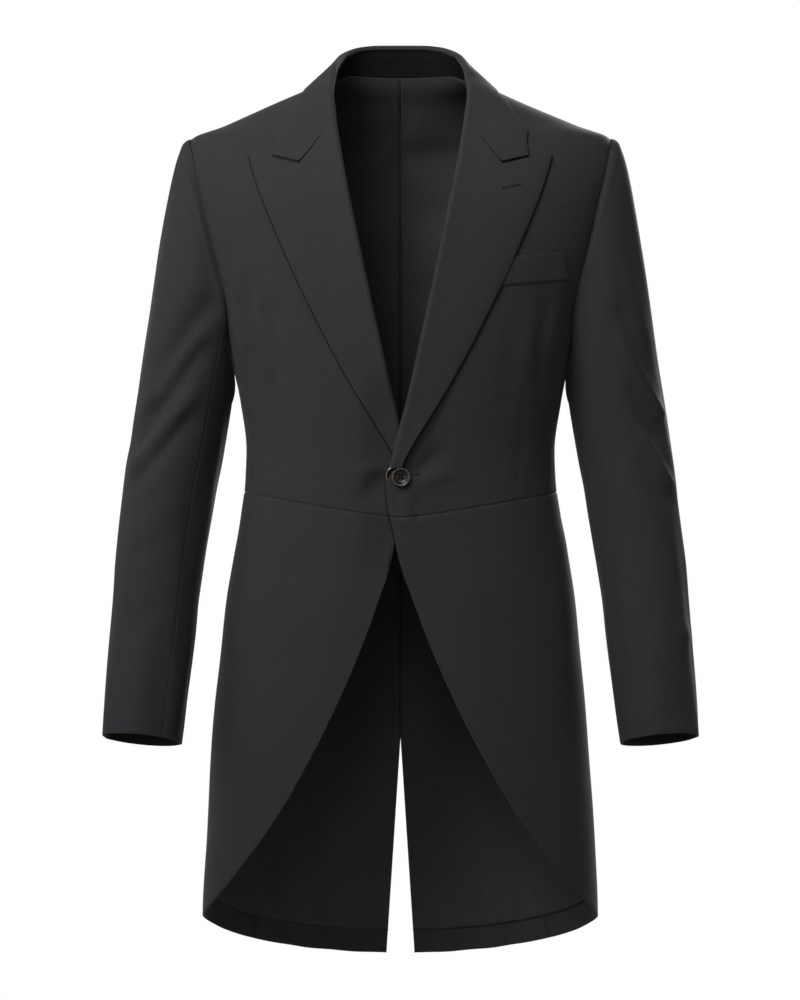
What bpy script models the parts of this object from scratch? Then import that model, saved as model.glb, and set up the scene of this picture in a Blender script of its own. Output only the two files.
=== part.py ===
"""Morning coat with peak lapels, cut away in front and long in the tails, filled out with no wearer.

Metres, +Z up. The front of the coat faces -Y and the wearer's left is +X.
The origin is the middle of the shoulder line, where the wearer's shoulders hold the coat.
"""

import math

import bpy
import numpy as np

# Cloth and seams
CLOTH = 0.0020
LINING = 0.0010
LINING_CLEAR = 0.0008
SEAM = 0.0003
SQUARENESS = 2.2

# Body of the coat: height, half width, depth in front, depth behind
BODY = (
    (-0.975, 0.2190, 0.1300, 0.1330),
    (-0.900, 0.2182, 0.1300, 0.1315),
    (-0.826, 0.2144, 0.1290, 0.1290),
    (-0.750, 0.2100, 0.1280, 0.1260),
    (-0.680, 0.2050, 0.1265, 0.1225),
    (-0.620, 0.1985, 0.1250, 0.1175),
    (-0.560, 0.1923, 0.1240, 0.1110),
    (-0.510, 0.1838, 0.1235, 0.1040),
    (-0.461, 0.1757, 0.1235, 0.0970),
    (-0.428, 0.1713, 0.1245, 0.0950),
    (-0.395, 0.1702, 0.1265, 0.0970),
    (-0.345, 0.1765, 0.1310, 0.1040),
    (-0.310, 0.1835, 0.1335, 0.1090),
    (-0.275, 0.1925, 0.1345, 0.1145),
    (-0.235, 0.2040, 0.1340, 0.1200),
    (-0.205, 0.2150, 0.1325, 0.1235),
    (-0.170, 0.2260, 0.1290, 0.1255),
    (-0.130, 0.2360, 0.1225, 0.1255),
    (-0.090, 0.2425, 0.1080, 0.1230),
    (-0.062, 0.2390, 0.0930, 0.1180),
    (-0.052, 0.2326, 0.0870, 0.1150),
    (-0.0385, 0.1970, 0.0772, 0.1090),
    (-0.025, 0.1660, 0.0680, 0.1030),
    (0.001, 0.1066, 0.0480, 0.0900),
    (0.013, 0.0800, 0.0380, 0.0820),
    (0.025, 0.0755, 0.0330, 0.0780),
)

# Front edge and roll of the lapel: height, how far the left front stops from the middle, and the right front.
# Below the middle row the left front crosses over the right one.
EDGE = (
    (-0.5035, -0.0037, 0.0045),
    (-0.4703, -0.0112, -0.0028),
    (-0.4550, -0.0140, -0.0050),
    (-0.4393, -0.0155, -0.0071),
    (-0.4254, -0.0146, -0.0062),
    (-0.3987, -0.0080, -0.0045),
    (-0.3731, -0.0016, -0.0005),
    (-0.3432, 0.0062, 0.0066),
    (-0.3134, 0.0130, 0.0138),
    (-0.2836, 0.0195, 0.0201),
    (-0.2237, 0.0328, 0.0334),
    (-0.1635, 0.0450, 0.0459),
    (-0.1023, 0.0577, 0.0583),
    (-0.0707, 0.0634, 0.0638),
    (-0.0312, 0.0691, 0.0697),
    (-0.0046, 0.0712, 0.0712),
)
LAPEL_END = {1: -0.4150, -1: -0.4020}
ROLL_HEIGHT = 0.0062
LAPEL_HEIGHT = 0.0042
LAPEL_CLOTH = 0.0018
ROLL_CLEAR = 0.0009
NECK_CLEAR = 0.0018
INSET_FROM = (-0.4320, -0.4185)

# Outer edge of the lapel, from its peak down to the button: height, distance from the middle
LAPEL_EDGE = (
    (-0.4150, 0.0015),
    (-0.4072, 0.0045),
    (-0.3944, 0.0112),
    (-0.3688, 0.0267),
    (-0.3303, 0.0502),
    (-0.2918, 0.0717),
    (-0.2531, 0.0915),
    (-0.2143, 0.1104),
    (-0.1752, 0.1278),
    (-0.1359, 0.1442),
    (-0.1094, 0.1542),
    (-0.0770, 0.1639),
)
# Gorge seam from the roll to the notch, then the top of the lapel to its peak: distance from the middle, height
GORGE = ((0.0694, -0.0312), (0.0854, -0.0568), (0.0976, -0.0743), (0.1092, -0.0880))
NOTCH_END = (0.1385, -0.0802)
PEAK = (0.1639, -0.0770)
COLLAR_POINT = (0.1385, -0.0785)

# Cutaway edge and hem: angle round the body from the middle of the front, height
CUT = (
    (1.0, -0.5035),
    (1.5, -0.5215),
    (3.8, -0.5507),
    (7.9, -0.5956),
    (12.8, -0.6407),
    (18.3, -0.6858),
    (25.0, -0.7310),
    (32.9, -0.7767),
    (41.5, -0.8150),
    (50.5, -0.8450),
    (60.0, -0.8712),
    (70.0, -0.8894),
    (80.0, -0.9025),
    (92.0, -0.9112),
    (105.0, -0.9212),
    (118.0, -0.9332),
    (136.5, -0.9482),
    (153.0, -0.9587),
    (167.0, -0.9645),
    (180.0, -0.9668),
)
CUT_SHIFT_DEG = 1.35

# Waist seam and the seams behind it
WAIST_FRONT = -0.4690
WAIST_SIDE = -0.4412
WAIST_BACK = -0.4480
SIDE_SEAM_WAIST_DEG = 78.0
# Seam of the side body and the back, then the pleat of the tail: height, distance from the middle of the back
BACK_SEAM = (
    (-0.9600, 0.1720),
    (-0.8800, 0.1500),
    (-0.8000, 0.1270),
    (-0.7200, 0.1060),
    (-0.6400, 0.0880),
    (-0.5600, 0.0740),
    (-0.4900, 0.0650),
    (-0.4480, 0.0620),
    (-0.4000, 0.0660),
    (-0.3500, 0.0740),
    (-0.3000, 0.0880),
    (-0.2600, 0.1040),
    (-0.2200, 0.1290),
    (-0.1900, 0.1540),
    (-0.1660, 0.1800),
)
VENT_TOP = -0.7205
VENT_HALF = 0.0160

# Armhole: an oval on the body, in degrees round it and metres up it
ARMHOLE_MID_DEG = 92.0
ARMHOLE_HALF_DEG = 27.0
ARMHOLE_MID_Z = -0.1620
ARMHOLE_HALF_Z = 0.1100
ARMHOLE_POWER = 3.0
SHOULDER_SEAM_DEG = 97.0
SHOULDER_NECK_Z = 0.0130
NECK_BACK_Z = 0.0250

# Turns round the armhole, from the front side seam over the shoulder and back under the arm
PSI_FRONT = (-60.0, -35.0, -15.0, 5.0, 25.0, 45.0, 64.0, 80.0, 94.6)
PSI_BACK = (178.0, 162.0, 146.0, 128.0, 110.0, 94.6)
PSI_SIDE = (300.0, 275.0, 254.0, 235.0, 215.0, 196.0, 178.0)
PSI_TOP_SLEEVE = (-35.0, -15.0, 5.0, 25.0, 45.0, 64.0, 80.0, 94.6, 110.0, 128.0, 146.0, 162.0)
PSI_UNDER_SLEEVE = (162.0, 178.0, 196.0, 215.0, 235.0, 254.0, 275.0, 300.0, 325.0)
HIND_SEAM_TURN = -20.0

# Sleeve below the cap: height, distance from the middle, y, half width, half depth
SLEEVE = (
    (-0.3350, 0.2382, 0.0040, 0.0522, 0.0640),
    (-0.3616, 0.2423, 0.0050, 0.0522, 0.0625),
    (-0.3948, 0.2478, 0.0050, 0.0520, 0.0610),
    (-0.4279, 0.2536, 0.0030, 0.0512, 0.0595),
    (-0.4610, 0.2577, 0.0000, 0.0503, 0.0575),
    (-0.4941, 0.2619, -0.0045, 0.0494, 0.0555),
    (-0.5272, 0.2658, -0.0105, 0.0486, 0.0535),
    (-0.5599, 0.2689, -0.0165, 0.0474, 0.0515),
    (-0.5925, 0.2716, -0.0230, 0.0470, 0.0500),
    (-0.6250, 0.2746, -0.0295, 0.0462, 0.0485),
    (-0.6574, 0.2776, -0.0362, 0.0452, 0.0470),
    (-0.6897, 0.2805, -0.0430, 0.0443, 0.0455),
    (-0.7115, 0.2825, -0.0475, 0.0434, 0.0445),
)
CAP_ROWS = 11
SLEEVE_ROWS = 16
SLEEVE_START = 0.0003
SLEEVE_CLEAR = 0.0009

# Largest folds of each sleeve, seen from the front: from x, z to x, z, half width, height
SLEEVE_FOLDS = {
    1: (
        (0.236, -0.236, 0.280, -0.310, 0.015, -0.0045),
        (0.246, -0.284, 0.284, -0.338, 0.011, 0.0030),
        (0.250, -0.322, 0.294, -0.392, 0.015, -0.0045),
        (0.268, -0.382, 0.298, -0.424, 0.011, 0.0028),
        (0.262, -0.432, 0.300, -0.470, 0.014, -0.0022),
    ),
    -1: (
        (0.205, -0.232, 0.272, -0.322, 0.014, -0.0048),
        (0.214, -0.268, 0.276, -0.342, 0.011, 0.0028),
        (0.226, -0.290, 0.294, -0.396, 0.015, -0.0050),
        (0.230, -0.344, 0.294, -0.414, 0.012, 0.0030),
        (0.236, -0.374, 0.298, -0.436, 0.014, -0.0038),
    ),
}
# Behind the arm the folds are those of the other sleeve, this much lower
FOLD_DROP_BEHIND = 0.018

# Collar from the middle of the back to the gorge: fold x, y, z, then its outer edge as turn, height and lift
COLLAR = (
    (0.0000, 0.0820, 0.0620, 180.0, 0.0190, 0.0058),
    (0.0235, 0.0800, 0.0617, 157.0, 0.0180, 0.0058),
    (0.0412, 0.0720, 0.0590, 138.0, 0.0150, 0.0060),
    (0.0540, 0.0560, 0.0530, 122.0, 0.0105, 0.0058),
    (0.0622, 0.0360, 0.0455, 107.0, 0.0070, 0.0042),
    (0.0664, 0.0150, 0.0370, 93.0, 0.0045, 0.0026),
    (0.0692, -0.0050, 0.0280, 78.0, 0.0015, 0.0026),
    (0.0708, -0.0210, 0.0160, 63.0, -0.0040, 0.0030),
    (0.0722, -0.0350, 0.0030, 50.0, -0.0170, 0.0038),
    (0.0725, -0.0490, -0.0085, 38.0, -0.0400, 0.0040),
    (0.0712, -0.0600, -0.0190, 32.5, -0.0620, 0.0040),
    (0.0694, -0.0705, -0.0312, 32.5, -0.0785, 0.0040),
)
COLLAR_HEIGHT = 0.0040
# Neck seam of the stand, from the middle of the back to where it runs out: x, y, z
NECK_SEAM = (
    (0.0000, 0.0770, 0.0256),
    (0.0250, 0.0735, 0.0256),
    (0.0430, 0.0655, 0.0250),
    (0.0570, 0.0535, 0.0238),
    (0.0680, 0.0350, 0.0206),
    (0.0738, 0.0150, 0.0165),
    (0.0762, -0.0020, 0.0122),
    (0.0766, -0.0185, 0.0055),
    (0.0768, -0.0330, -0.0010),
)

# Breast welt on the left front, corners in front view: bottom inner, bottom outer, top outer, top inner
WELT = ((0.0900, -0.2225), (0.1827, -0.2120), (0.1785, -0.1822), (0.0860, -0.1925))
WELT_CLOTH = 0.0012

# Closing: the left front stands out and the right front goes in behind it
CLOSE_OUT = 0.0025
CLOSE_IN = 0.0070
CLOSE_TOP = (-0.300, -0.362)
CLOSE_LOW = (-0.500, -0.560)
CLOSE_SIDE = (0.048, 0.012)

# Buttons: x, z, radius, thickness
FRONT_BUTTON = (0.0005, -0.4254, 0.0103, 0.0040)
LINK_BUTTON = (-0.0062, -0.4240, 0.0103, 0.0026)
BUTTON_SIDES = 20
BUTTON_HOLE = 0.0010
BUTTON_HOLE_AT = 0.0020

# Colours of the CAD materials
CHARCOAL = (0.035, 0.035, 0.039, 1.0)
BLACK_SATIN = (0.012, 0.012, 0.013, 1.0)
DARK_HORN = (0.020, 0.015, 0.012, 1.0)


# Smooth curve through a table

def curve(table, key, value):
    xs = np.array([row[key] for row in table], float)
    ys = np.array([row[value] for row in table], float)
    order = np.argsort(xs)
    xs = xs[order]
    ys = ys[order]
    step = np.diff(xs)
    rise = np.diff(ys) / step
    slope = np.zeros(len(xs))
    slope[0] = rise[0]
    slope[-1] = rise[-1]
    for i in range(1, len(xs) - 1):
        if rise[i - 1] * rise[i] > 0:
            near = 2 * step[i] + step[i - 1]
            far = step[i] + 2 * step[i - 1]
            slope[i] = (near + far) / (near / rise[i - 1] + far / rise[i])

    def at(x):
        x = np.clip(np.asarray(x, float), xs[0], xs[-1])
        i = np.clip(np.searchsorted(xs, x) - 1, 0, len(xs) - 2)
        t = (x - xs[i]) / step[i]
        return (
            ys[i] * (1 + 2 * t) * (1 - t) ** 2
            + ys[i + 1] * t * t * (3 - 2 * t)
            + step[i] * (slope[i] * t * (1 - t) ** 2 - slope[i + 1] * t * t * (1 - t))
        )

    return at


half_width = curve(BODY, 0, 1)
depth_front = curve(BODY, 0, 2)
depth_back = curve(BODY, 0, 3)
edge_of = {1: curve(EDGE, 0, 1), -1: curve(EDGE, 0, 2)}
lapel_edge = curve(LAPEL_EDGE, 0, 1)
cut_height = curve(CUT, 0, 1)
back_seam = curve(BACK_SEAM, 0, 1)


def ease(x, start, end):
    t = np.clip((np.asarray(x, float) - start) / (end - start), 0, 1)
    return t * t * (3 - 2 * t)


def unit(v):
    return v / np.maximum(np.linalg.norm(v, axis=-1, keepdims=True), 1e-12)


# Body surface: a soft oval at each height. Every point is given on the wearer's left and mirrored at the end.

def closing(across, z, side):
    amount = ease(z, *CLOSE_TOP) * ease(z, *reversed(CLOSE_LOW)) * ease(across, *CLOSE_SIDE)
    return amount * (CLOSE_OUT if side > 0 else -CLOSE_IN)


def body(turn, z, side=1):
    turn = np.radians(np.asarray(turn, float))
    z = np.asarray(z, float)
    power = 2 / SQUARENESS
    s = np.sin(turn)
    c = np.cos(turn)
    x = half_width(z) * np.sign(s) * np.abs(s) ** power
    front = -(depth_front(z) + closing(x, z, side)) * np.abs(c) ** power
    back = depth_back(z) * np.abs(c) ** power
    y = np.where(c > 0, front, back)
    return np.stack(np.broadcast_arrays(x, y, z), axis=-1)


def body_normal(turn, z, side=1):
    turn = np.asarray(turn, float)
    z = np.asarray(z, float)
    around = body(turn + 0.2, z, side) - body(turn - 0.2, z, side)
    up = body(turn, z + 0.0006, side) - body(turn, z - 0.0006, side)
    return unit(np.cross(around, up))


def off_body(turn, z, height, side=1):
    return body(turn, z, side) + body_normal(turn, z, side) * np.asarray(height)[..., None]


def turn_of(x, z, behind=False):
    share = np.clip(np.abs(x) / half_width(z), 0, 1)
    turn = np.degrees(np.arcsin(share ** (SQUARENESS / 2))) * np.sign(x)
    return 180 - turn if behind else turn


def on_front(x, z, height, side=1):
    """The point that shows at x, z in a front view, this high above the front of the coat."""
    x = np.asarray(x, float)
    z = np.asarray(z, float)
    bx = x
    bz = z
    for _ in range(3):
        n = body_normal(turn_of(bx, bz), bz, side)
        bx = x - n[..., 0] * height
        bz = z - n[..., 2] * height
    return off_body(turn_of(bx, bz), bz, np.broadcast_to(height, bx.shape), side)


# Patch between four edges, each a list of points in turn and height or in x and z

PATH_SCALE = np.array([0.0028, 1.0])

def patch(left, right, bottom, top, u=None, top_fall=1):
    """The bend of the bottom and top edges fades across the patch, the top one faster where asked."""
    v = path_share(0.5 * (left + right))[:, None, None]
    u = path_share(0.5 * (bottom + top)) if u is None else u
    u = u[None, :, None]
    sides = (1 - u) * left[:, None] + u * right[:, None]
    low_bend = bottom - (1 - u) * bottom[0] - u * bottom[-1]
    high_bend = top - (1 - u) * top[0] - u * top[-1]
    return sides + (1 - v) * low_bend + v**top_fall * high_bend


def path_share(points):
    scaled = points * PATH_SCALE if np.abs(points).max() > 2 else points
    length = np.r_[0, np.cumsum(np.linalg.norm(np.diff(scaled, axis=0), axis=1))]
    return length / length[-1]


def pulled_in(grid, gaps):
    """Moves the four edges of a grid of points in by these gaps, across each edge."""
    out = grid.copy()
    for edge, inner, gap in (
        ((slice(None), 0), (slice(None), 1), gaps[0]),
        ((slice(None), -1), (slice(None), -2), gaps[1]),
        ((0, slice(None)), (1, slice(None)), gaps[2]),
        ((-1, slice(None)), (-2, slice(None)), gaps[3]),
    ):
        along = unit(np.gradient(grid[edge], axis=0))
        inward = grid[inner] - grid[edge]
        inward = inward - along * (inward * along).sum(-1, keepdims=True)
        out[edge] += unit(inward) * gap
    return out


# Objects

def material(name, colour, roughness):
    made = bpy.data.materials.new(name)
    made.use_nodes = True
    shader = made.node_tree.nodes["Principled BSDF"]
    shader.inputs["Base Color"].default_value = colour
    shader.inputs["Roughness"].default_value = roughness
    made.diffuse_color = colour
    return made


def collection(name):
    made = bpy.data.collections.new(name)
    bpy.context.scene.collection.children.link(made)
    return made


for old in list(bpy.data.objects):
    bpy.data.objects.remove(old, do_unlink=True)

coat = collection("morning_coat")
cutters = collection("cutters")
cutters.hide_render = True
wool = material("wool", CHARCOAL, 0.85)
satin = material("lining_satin", BLACK_SATIN, 0.45)
horn = material("horn", DARK_HORN, 0.35)


def mesh_object(name, points, faces, slot, home=coat):
    mesh = bpy.data.meshes.new(name)
    mesh.from_pydata([tuple(map(float, p)) for p in points], [], faces)
    mesh.materials.append(slot)
    made = bpy.data.objects.new(name, mesh)
    home.objects.link(made)
    return made


def grid_faces(rows, cols, turned, slant):
    faces = []
    for i in range(rows - 1):
        for j in range(cols - 1):
            a = i * cols + j
            b = a + cols
            halves = ((a, a + 1, b + 1), (a, b + 1, b)) if slant else ((a, a + 1, b), (a + 1, b + 1, b))
            for face in halves:
                faces.append(face[::-1] if turned else face)
    return faces


def cloth(name, grid, side=1, wall=CLOTH, slot=None, turned=False, slant=True, both=False):
    """One cut piece: an open surface through the middle of the cloth, made solid both ways.

    With both, the grid is one half, open at the middle plane, and is mirrored first.
    """
    rows, cols = grid.shape[:2]
    points = grid.reshape(-1, 3) * (side, 1, 1)
    faces = grid_faces(rows, cols, turned != (side < 0), slant)
    made = mesh_object(name, points, faces, slot or wool)
    if both:
        mirror = made.modifiers.new("mirror", "MIRROR")
        mirror.merge_threshold = 0.0001
    solid = made.modifiers.new("wall", "SOLIDIFY")
    solid.thickness = wall
    solid.offset = 0
    return made


SIDES = (("left", 1), ("right", -1))


# Waist, armhole and front edges as points of turn and height

MIDDLE = np.array(-CLOTH / 2)


def waist_height(turn):
    s = np.abs(np.sin(np.radians(turn)))
    front = WAIST_FRONT + (WAIST_SIDE - WAIST_FRONT) * s**1.1
    back = WAIST_BACK + (WAIST_SIDE - WAIST_BACK) * s
    return np.where(np.asarray(turn) < 90, front, back)


def armhole(psi):
    p = np.radians(np.asarray(psi, float))
    power = 2 / ARMHOLE_POWER
    c = np.cos(p)
    s = np.sin(p)
    turn = ARMHOLE_MID_DEG - ARMHOLE_HALF_DEG * np.sign(c) * np.abs(c) ** power
    z = ARMHOLE_MID_Z + ARMHOLE_HALF_Z * np.sign(s) * np.abs(s) ** power
    return np.stack([turn, z], axis=-1)


def forepart_edge(z, side):
    inset = (ROLL_HEIGHT + CLOTH) / 2 + ROLL_CLEAR
    return edge_of[side](z) + inset * ease(z, *INSET_FROM) + NECK_CLEAR * ease(z, -0.040, -0.020)


def in_turns(x, z, behind=False):
    return np.stack([turn_of(x, z, behind), z], axis=-1)


SEAM_ROWS = 7
TAIL_ROWS = 11
SHOULDER_END = armhole(94.6)
SWOOP_TOP = armhole(178.0)
SIDE_TOP = armhole(-60.0)


def side_seam():
    waist = np.array([SIDE_SEAM_WAIST_DEG, waist_height(SIDE_SEAM_WAIST_DEG)])
    t = np.linspace(0, 1, SEAM_ROWS + 1)[:, None]
    line = waist + (SIDE_TOP - waist) * t
    line[:, 0] += 2.0 * np.sin(np.pi * t[:, 0])
    return line


def waist_back_corner():
    z = WAIST_BACK
    for _ in range(4):
        turn = turn_of(back_seam(z), z, True)
        z = float(waist_height(turn))
    return z


WAIST_CORNER = waist_back_corner()


def swoop():
    z = np.linspace(WAIST_CORNER, SWOOP_TOP[1], SEAM_ROWS + 1)
    line = in_turns(back_seam(z), z, True)
    t = np.linspace(0, 1, SEAM_ROWS + 1)
    line[:, 0] += (SWOOP_TOP[0] - line[-1, 0]) * ease(t, 0.4, 1.0)
    return line


def pleat(lower):
    z = np.linspace(lower, WAIST_CORNER, TAIL_ROWS + 1)
    return in_turns(back_seam(z), z, True)


def pleat_foot():
    z = -0.955
    for _ in range(5):
        z = float(cut_height(turn_of(back_seam(z), z, True)))
    return z


PLEAT_FOOT = pleat_foot()


def shoulder_seam(count):
    z = np.linspace(SHOULDER_NECK_Z, SHOULDER_END[1], count)
    turn = SHOULDER_SEAM_DEG + (SHOULDER_END[0] - SHOULDER_SEAM_DEG) * np.linspace(0, 1, count)
    return np.stack([turn, z], axis=-1)


# Front, from the waist seam to the shoulder seam
FRONT_COLS = 9
FRONT_EDGE_Z = np.array(
    (-0.4480, -0.4320, -0.4185, -0.3900, -0.3550, -0.3120, -0.2670)
    + (-0.2230, -0.1790, -0.1380, -0.1000, -0.0660, -0.0340, -0.0046)
)

for word, side in SIDES:
    right = np.concatenate([side_seam(), armhole(PSI_FRONT)[1:]])
    low = float(waist_height(turn_of(edge_of[side](WAIST_FRONT), WAIST_FRONT)))
    z = np.r_[low, FRONT_EDGE_Z]
    left = np.concatenate([in_turns(forepart_edge(z, side), z), [[97.0, SHOULDER_NECK_Z]]])
    u = np.linspace(0, 1, FRONT_COLS)
    turns = left[0, 0] + (SIDE_SEAM_WAIST_DEG - left[0, 0]) * u
    bottom = np.stack([turns, waist_height(turns)], axis=-1)
    bottom[0] = left[0]
    top = shoulder_seam(FRONT_COLS)
    grid = patch(left, right, bottom, top)
    points = off_body(grid[..., 0], grid[..., 1], MIDDLE, side)
    cloth("front_" + word, pulled_in(points, (0, SEAM / 2, SEAM / 2, SEAM)), side)

# Side body, under the arm
for word, side in SIDES:
    u = np.linspace(0, 1, len(PSI_SIDE))
    left = side_seam()
    right = swoop()
    turns = left[0, 0] + (right[0, 0] - left[0, 0]) * u
    bottom = np.stack([turns, waist_height(turns)], axis=-1)
    top = armhole(PSI_SIDE)
    grid = patch(left, right, bottom, top)
    points = off_body(grid[..., 0], grid[..., 1], MIDDLE, side)
    cloth("side_" + word, pulled_in(points, (SEAM / 2, SEAM, SEAM / 2, SEAM / 2)), side)

# Back, from the neck to the hem of the tail in one piece
BACK_COLS = 9
NECK_COLS = 4
TOP_FALL = 8


def centre_back(z):
    gap = SEAM + VENT_HALF * np.clip((VENT_TOP - z) / (VENT_TOP + 0.966), 0, 1)
    return in_turns(gap, z, True)


def back_grid(hem_rise):
    right = np.concatenate([pleat(PLEAT_FOOT + hem_rise), swoop()[1:], armhole(PSI_BACK)[1:]])
    rows = len(right)
    upper = rows - TAIL_ROWS - 1
    foot = float(cut_height(180.0)) + hem_rise
    z = np.r_[
        np.linspace(foot, WAIST_CORNER, TAIL_ROWS + 1),
        np.linspace(WAIST_CORNER, NECK_BACK_Z, upper + 1)[1:],
    ]
    left = centre_back(z)
    u = np.linspace(0, 1, BACK_COLS)
    turns = left[0, 0] + (right[0, 0] - left[0, 0]) * u
    bottom = np.stack([turns, cut_height(turns) + hem_rise], axis=-1)
    bottom[0] = left[0]
    neck_turn = np.linspace(left[-1, 0], SHOULDER_SEAM_DEG, NECK_COLS)
    fall = ease(neck_turn, left[-1, 0], SHOULDER_SEAM_DEG)
    neck_z = NECK_BACK_Z + (SHOULDER_NECK_Z - NECK_BACK_Z) * fall
    seam = shoulder_seam(BACK_COLS - NECK_COLS + 1)
    top = np.concatenate([np.stack([neck_turn, neck_z], axis=-1)[:-1], seam])
    return patch(left, right, bottom, top, u, TOP_FALL)


for word, side in SIDES:
    grid = back_grid(0.0)
    points = off_body(grid[..., 0], grid[..., 1], MIDDLE)
    cloth("back_" + word, pulled_in(points, (0, SEAM, 0, SEAM)), side, turned=True, slant=False)

# Skirt, from the waist seam to the cutaway edge and the hem
SKIRT_TURNS = np.array(
    (0.0, 0.012, 0.030, 0.055, 0.090, 0.135, 0.190, 0.250, 0.315)
    + (0.385, 0.460, 0.540, 0.620, 0.700, 0.780, 0.855, 0.930, 1.0)
)
LINING_FROM = 4


def skirt_grid(side, rise, u):
    start = turn_of(edge_of[side](WAIST_FRONT), WAIST_FRONT)
    finish = turn_of(back_seam(WAIST_CORNER), WAIST_CORNER, True)
    foot = turn_of(back_seam(PLEAT_FOOT), PLEAT_FOOT, True)
    shift = CUT_SHIFT_DEG * (1 if side > 0 else -1)
    t = np.linspace(0, 1, TAIL_ROWS + 1)[:, None]
    top_turn = start + (finish - start) * u
    low_turn = (1.0 - shift) + (foot - 1.0 + shift) * u
    low = cut_height(low_turn + shift * (1 - u)) + rise
    high = waist_height(top_turn)
    z = low + (high - low) * t
    turn = low_turn + (top_turn - low_turn) * t
    pleat_line = pleat(PLEAT_FOOT)
    bend = pleat_line[:, :1] - (pleat_line[:1, 0] + (pleat_line[-1, 0] - pleat_line[0, 0]) * t)
    turn = turn + bend * u**3
    return np.stack(np.broadcast_arrays(turn, z), axis=-1)


for word, side in SIDES:
    grid = skirt_grid(side, 0.0, SKIRT_TURNS)
    points = off_body(grid[..., 0], grid[..., 1], MIDDLE, side)
    cloth("skirt_" + word, pulled_in(points, (0, SEAM / 2, 0, SEAM / 2)), side)

# Lapel: the facing comes round the roll of the front and lies back on it
LAPEL_ROWS = 17
LAPEL_COLS = 6
ROLL_RADIUS = (ROLL_HEIGHT + CLOTH) / 2
DIAGONAL = math.sqrt(0.5)


def along(line, share):
    length = np.r_[0, np.cumsum(np.linalg.norm(np.diff(line, axis=0), axis=1))]
    return np.array([np.interp(share * length[-1], length, line[:, k]) for k in range(line.shape[1])])


def resample(line, shares, corner, corner_share):
    """Points along a line of points, one of them kept at its corner."""
    first = line[: corner + 1]
    second = line[corner:]
    found = []
    for share in shares:
        if share <= corner_share:
            found.append(along(first, share / corner_share))
        else:
            found.append(along(second, (share - corner_share) / (1 - corner_share)))
    return np.array(found)


def roll_section(wall):
    """Middle of the cloth round the roll: distance from its crest, height above the cloth below."""
    radius = ROLL_RADIUS - wall / 2
    level = ROLL_RADIUS - CLOTH
    return (
        (ROLL_RADIUS, level - radius),
        (ROLL_RADIUS - DIAGONAL * radius, level - DIAGONAL * radius),
        (ROLL_RADIUS - radius, level),
        (ROLL_RADIUS - DIAGONAL * radius, level + DIAGONAL * radius),
    )


def lapel_points(side):
    end = LAPEL_END[side]
    share = np.linspace(0, 1, LAPEL_ROWS) ** 0.92
    z = end + (GORGE[0][1] - end) * share
    crest = np.stack([edge_of[side](z), z], axis=-1)
    slope = np.gradient(crest[:, 0], z)
    across = unit(np.stack([np.ones_like(slope), -slope], axis=-1))
    inner = crest + across * ROLL_RADIUS
    low_z = end + (PEAK[1] - end) * share
    outer = np.stack([lapel_edge(low_z), low_z], axis=-1)
    outer[-1] = PEAK
    top_line = np.array([inner[-1], *GORGE[1:], NOTCH_END, PEAK])
    top = resample(top_line, (0, 0.30, 0.56, 0.70, 0.85, 1.0), 3, 0.56)
    u = np.linspace(0, 1, LAPEL_COLS)[:, None]
    bottom = inner[0] + (outer[0] - inner[0]) * u
    flat = patch(inner, outer, bottom, top)
    away = np.linalg.norm(flat - flat[:, :1], axis=-1)
    height = LAPEL_HEIGHT + (ROLL_HEIGHT - LAPEL_HEIGHT) * np.exp(-away / 0.018)
    sheet = on_front(flat[..., 0], flat[..., 1], height - LAPEL_CLOTH / 2, side)
    columns = []
    for out, high in roll_section(LAPEL_CLOTH):
        spot = crest + across * out
        columns.append(on_front(spot[:, 0], spot[:, 1], np.full(LAPEL_ROWS, high), side))
    return np.concatenate([np.stack(columns, axis=1), sheet], axis=1)


for word, side in SIDES:
    points = lapel_points(side)
    cloth("lapel_" + word, pulled_in(points, (0, 0, 0, SEAM / 2)), side, LAPEL_CLOTH)

# Sleeve: a tube of two pieces from the armhole to the cuff
sleeve_x = curve(SLEEVE, 0, 1)
sleeve_y = curve(SLEEVE, 0, 2)
sleeve_wide = curve(SLEEVE, 0, 3)
sleeve_deep = curve(SLEEVE, 0, 4)


def sleeve_ring(psi, z, shrink=0.0):
    p = np.radians(psi)
    step = 0.004
    high = np.array([sleeve_x(z + step), sleeve_y(z + step), z + step])
    low = np.array([sleeve_x(z - step), sleeve_y(z - step), z - step])
    if z + step > SLEEVE[0][0]:
        high = 2 * np.array([sleeve_x(z), sleeve_y(z), z]) - low
    if z - step < SLEEVE[-1][0]:
        low = 2 * np.array([sleeve_x(z), sleeve_y(z), z]) - high
    down = unit(low - high)
    out = unit(np.array([1.0, 0, 0]) - down * down[0])
    front = unit(np.cross(down, out))
    front = front if front[1] < 0 else -front
    centre = np.array([sleeve_x(z), sleeve_y(z), z])
    wide = sleeve_wide(z) - shrink
    deep = sleeve_deep(z) - shrink
    return centre + front * (deep * np.cos(p))[:, None] + out * (wide * np.sin(p))[:, None], down


def fold_height(x, z, folds):
    total = np.zeros(np.shape(x))
    for x0, z0, x1, z1, half, height in folds:
        run = np.array([x1 - x0, z1 - z0])
        length = np.linalg.norm(run)
        run = run / length
        along_it = (x - x0) * run[0] + (z - z0) * run[1]
        off_it = (z - z0) * run[0] - (x - x0) * run[1]
        ends = ease(along_it, -half, half) * ease(length - along_it, -half, half)
        total = total + height * ends * np.exp(-((off_it / half) ** 2))
    return total


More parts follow.
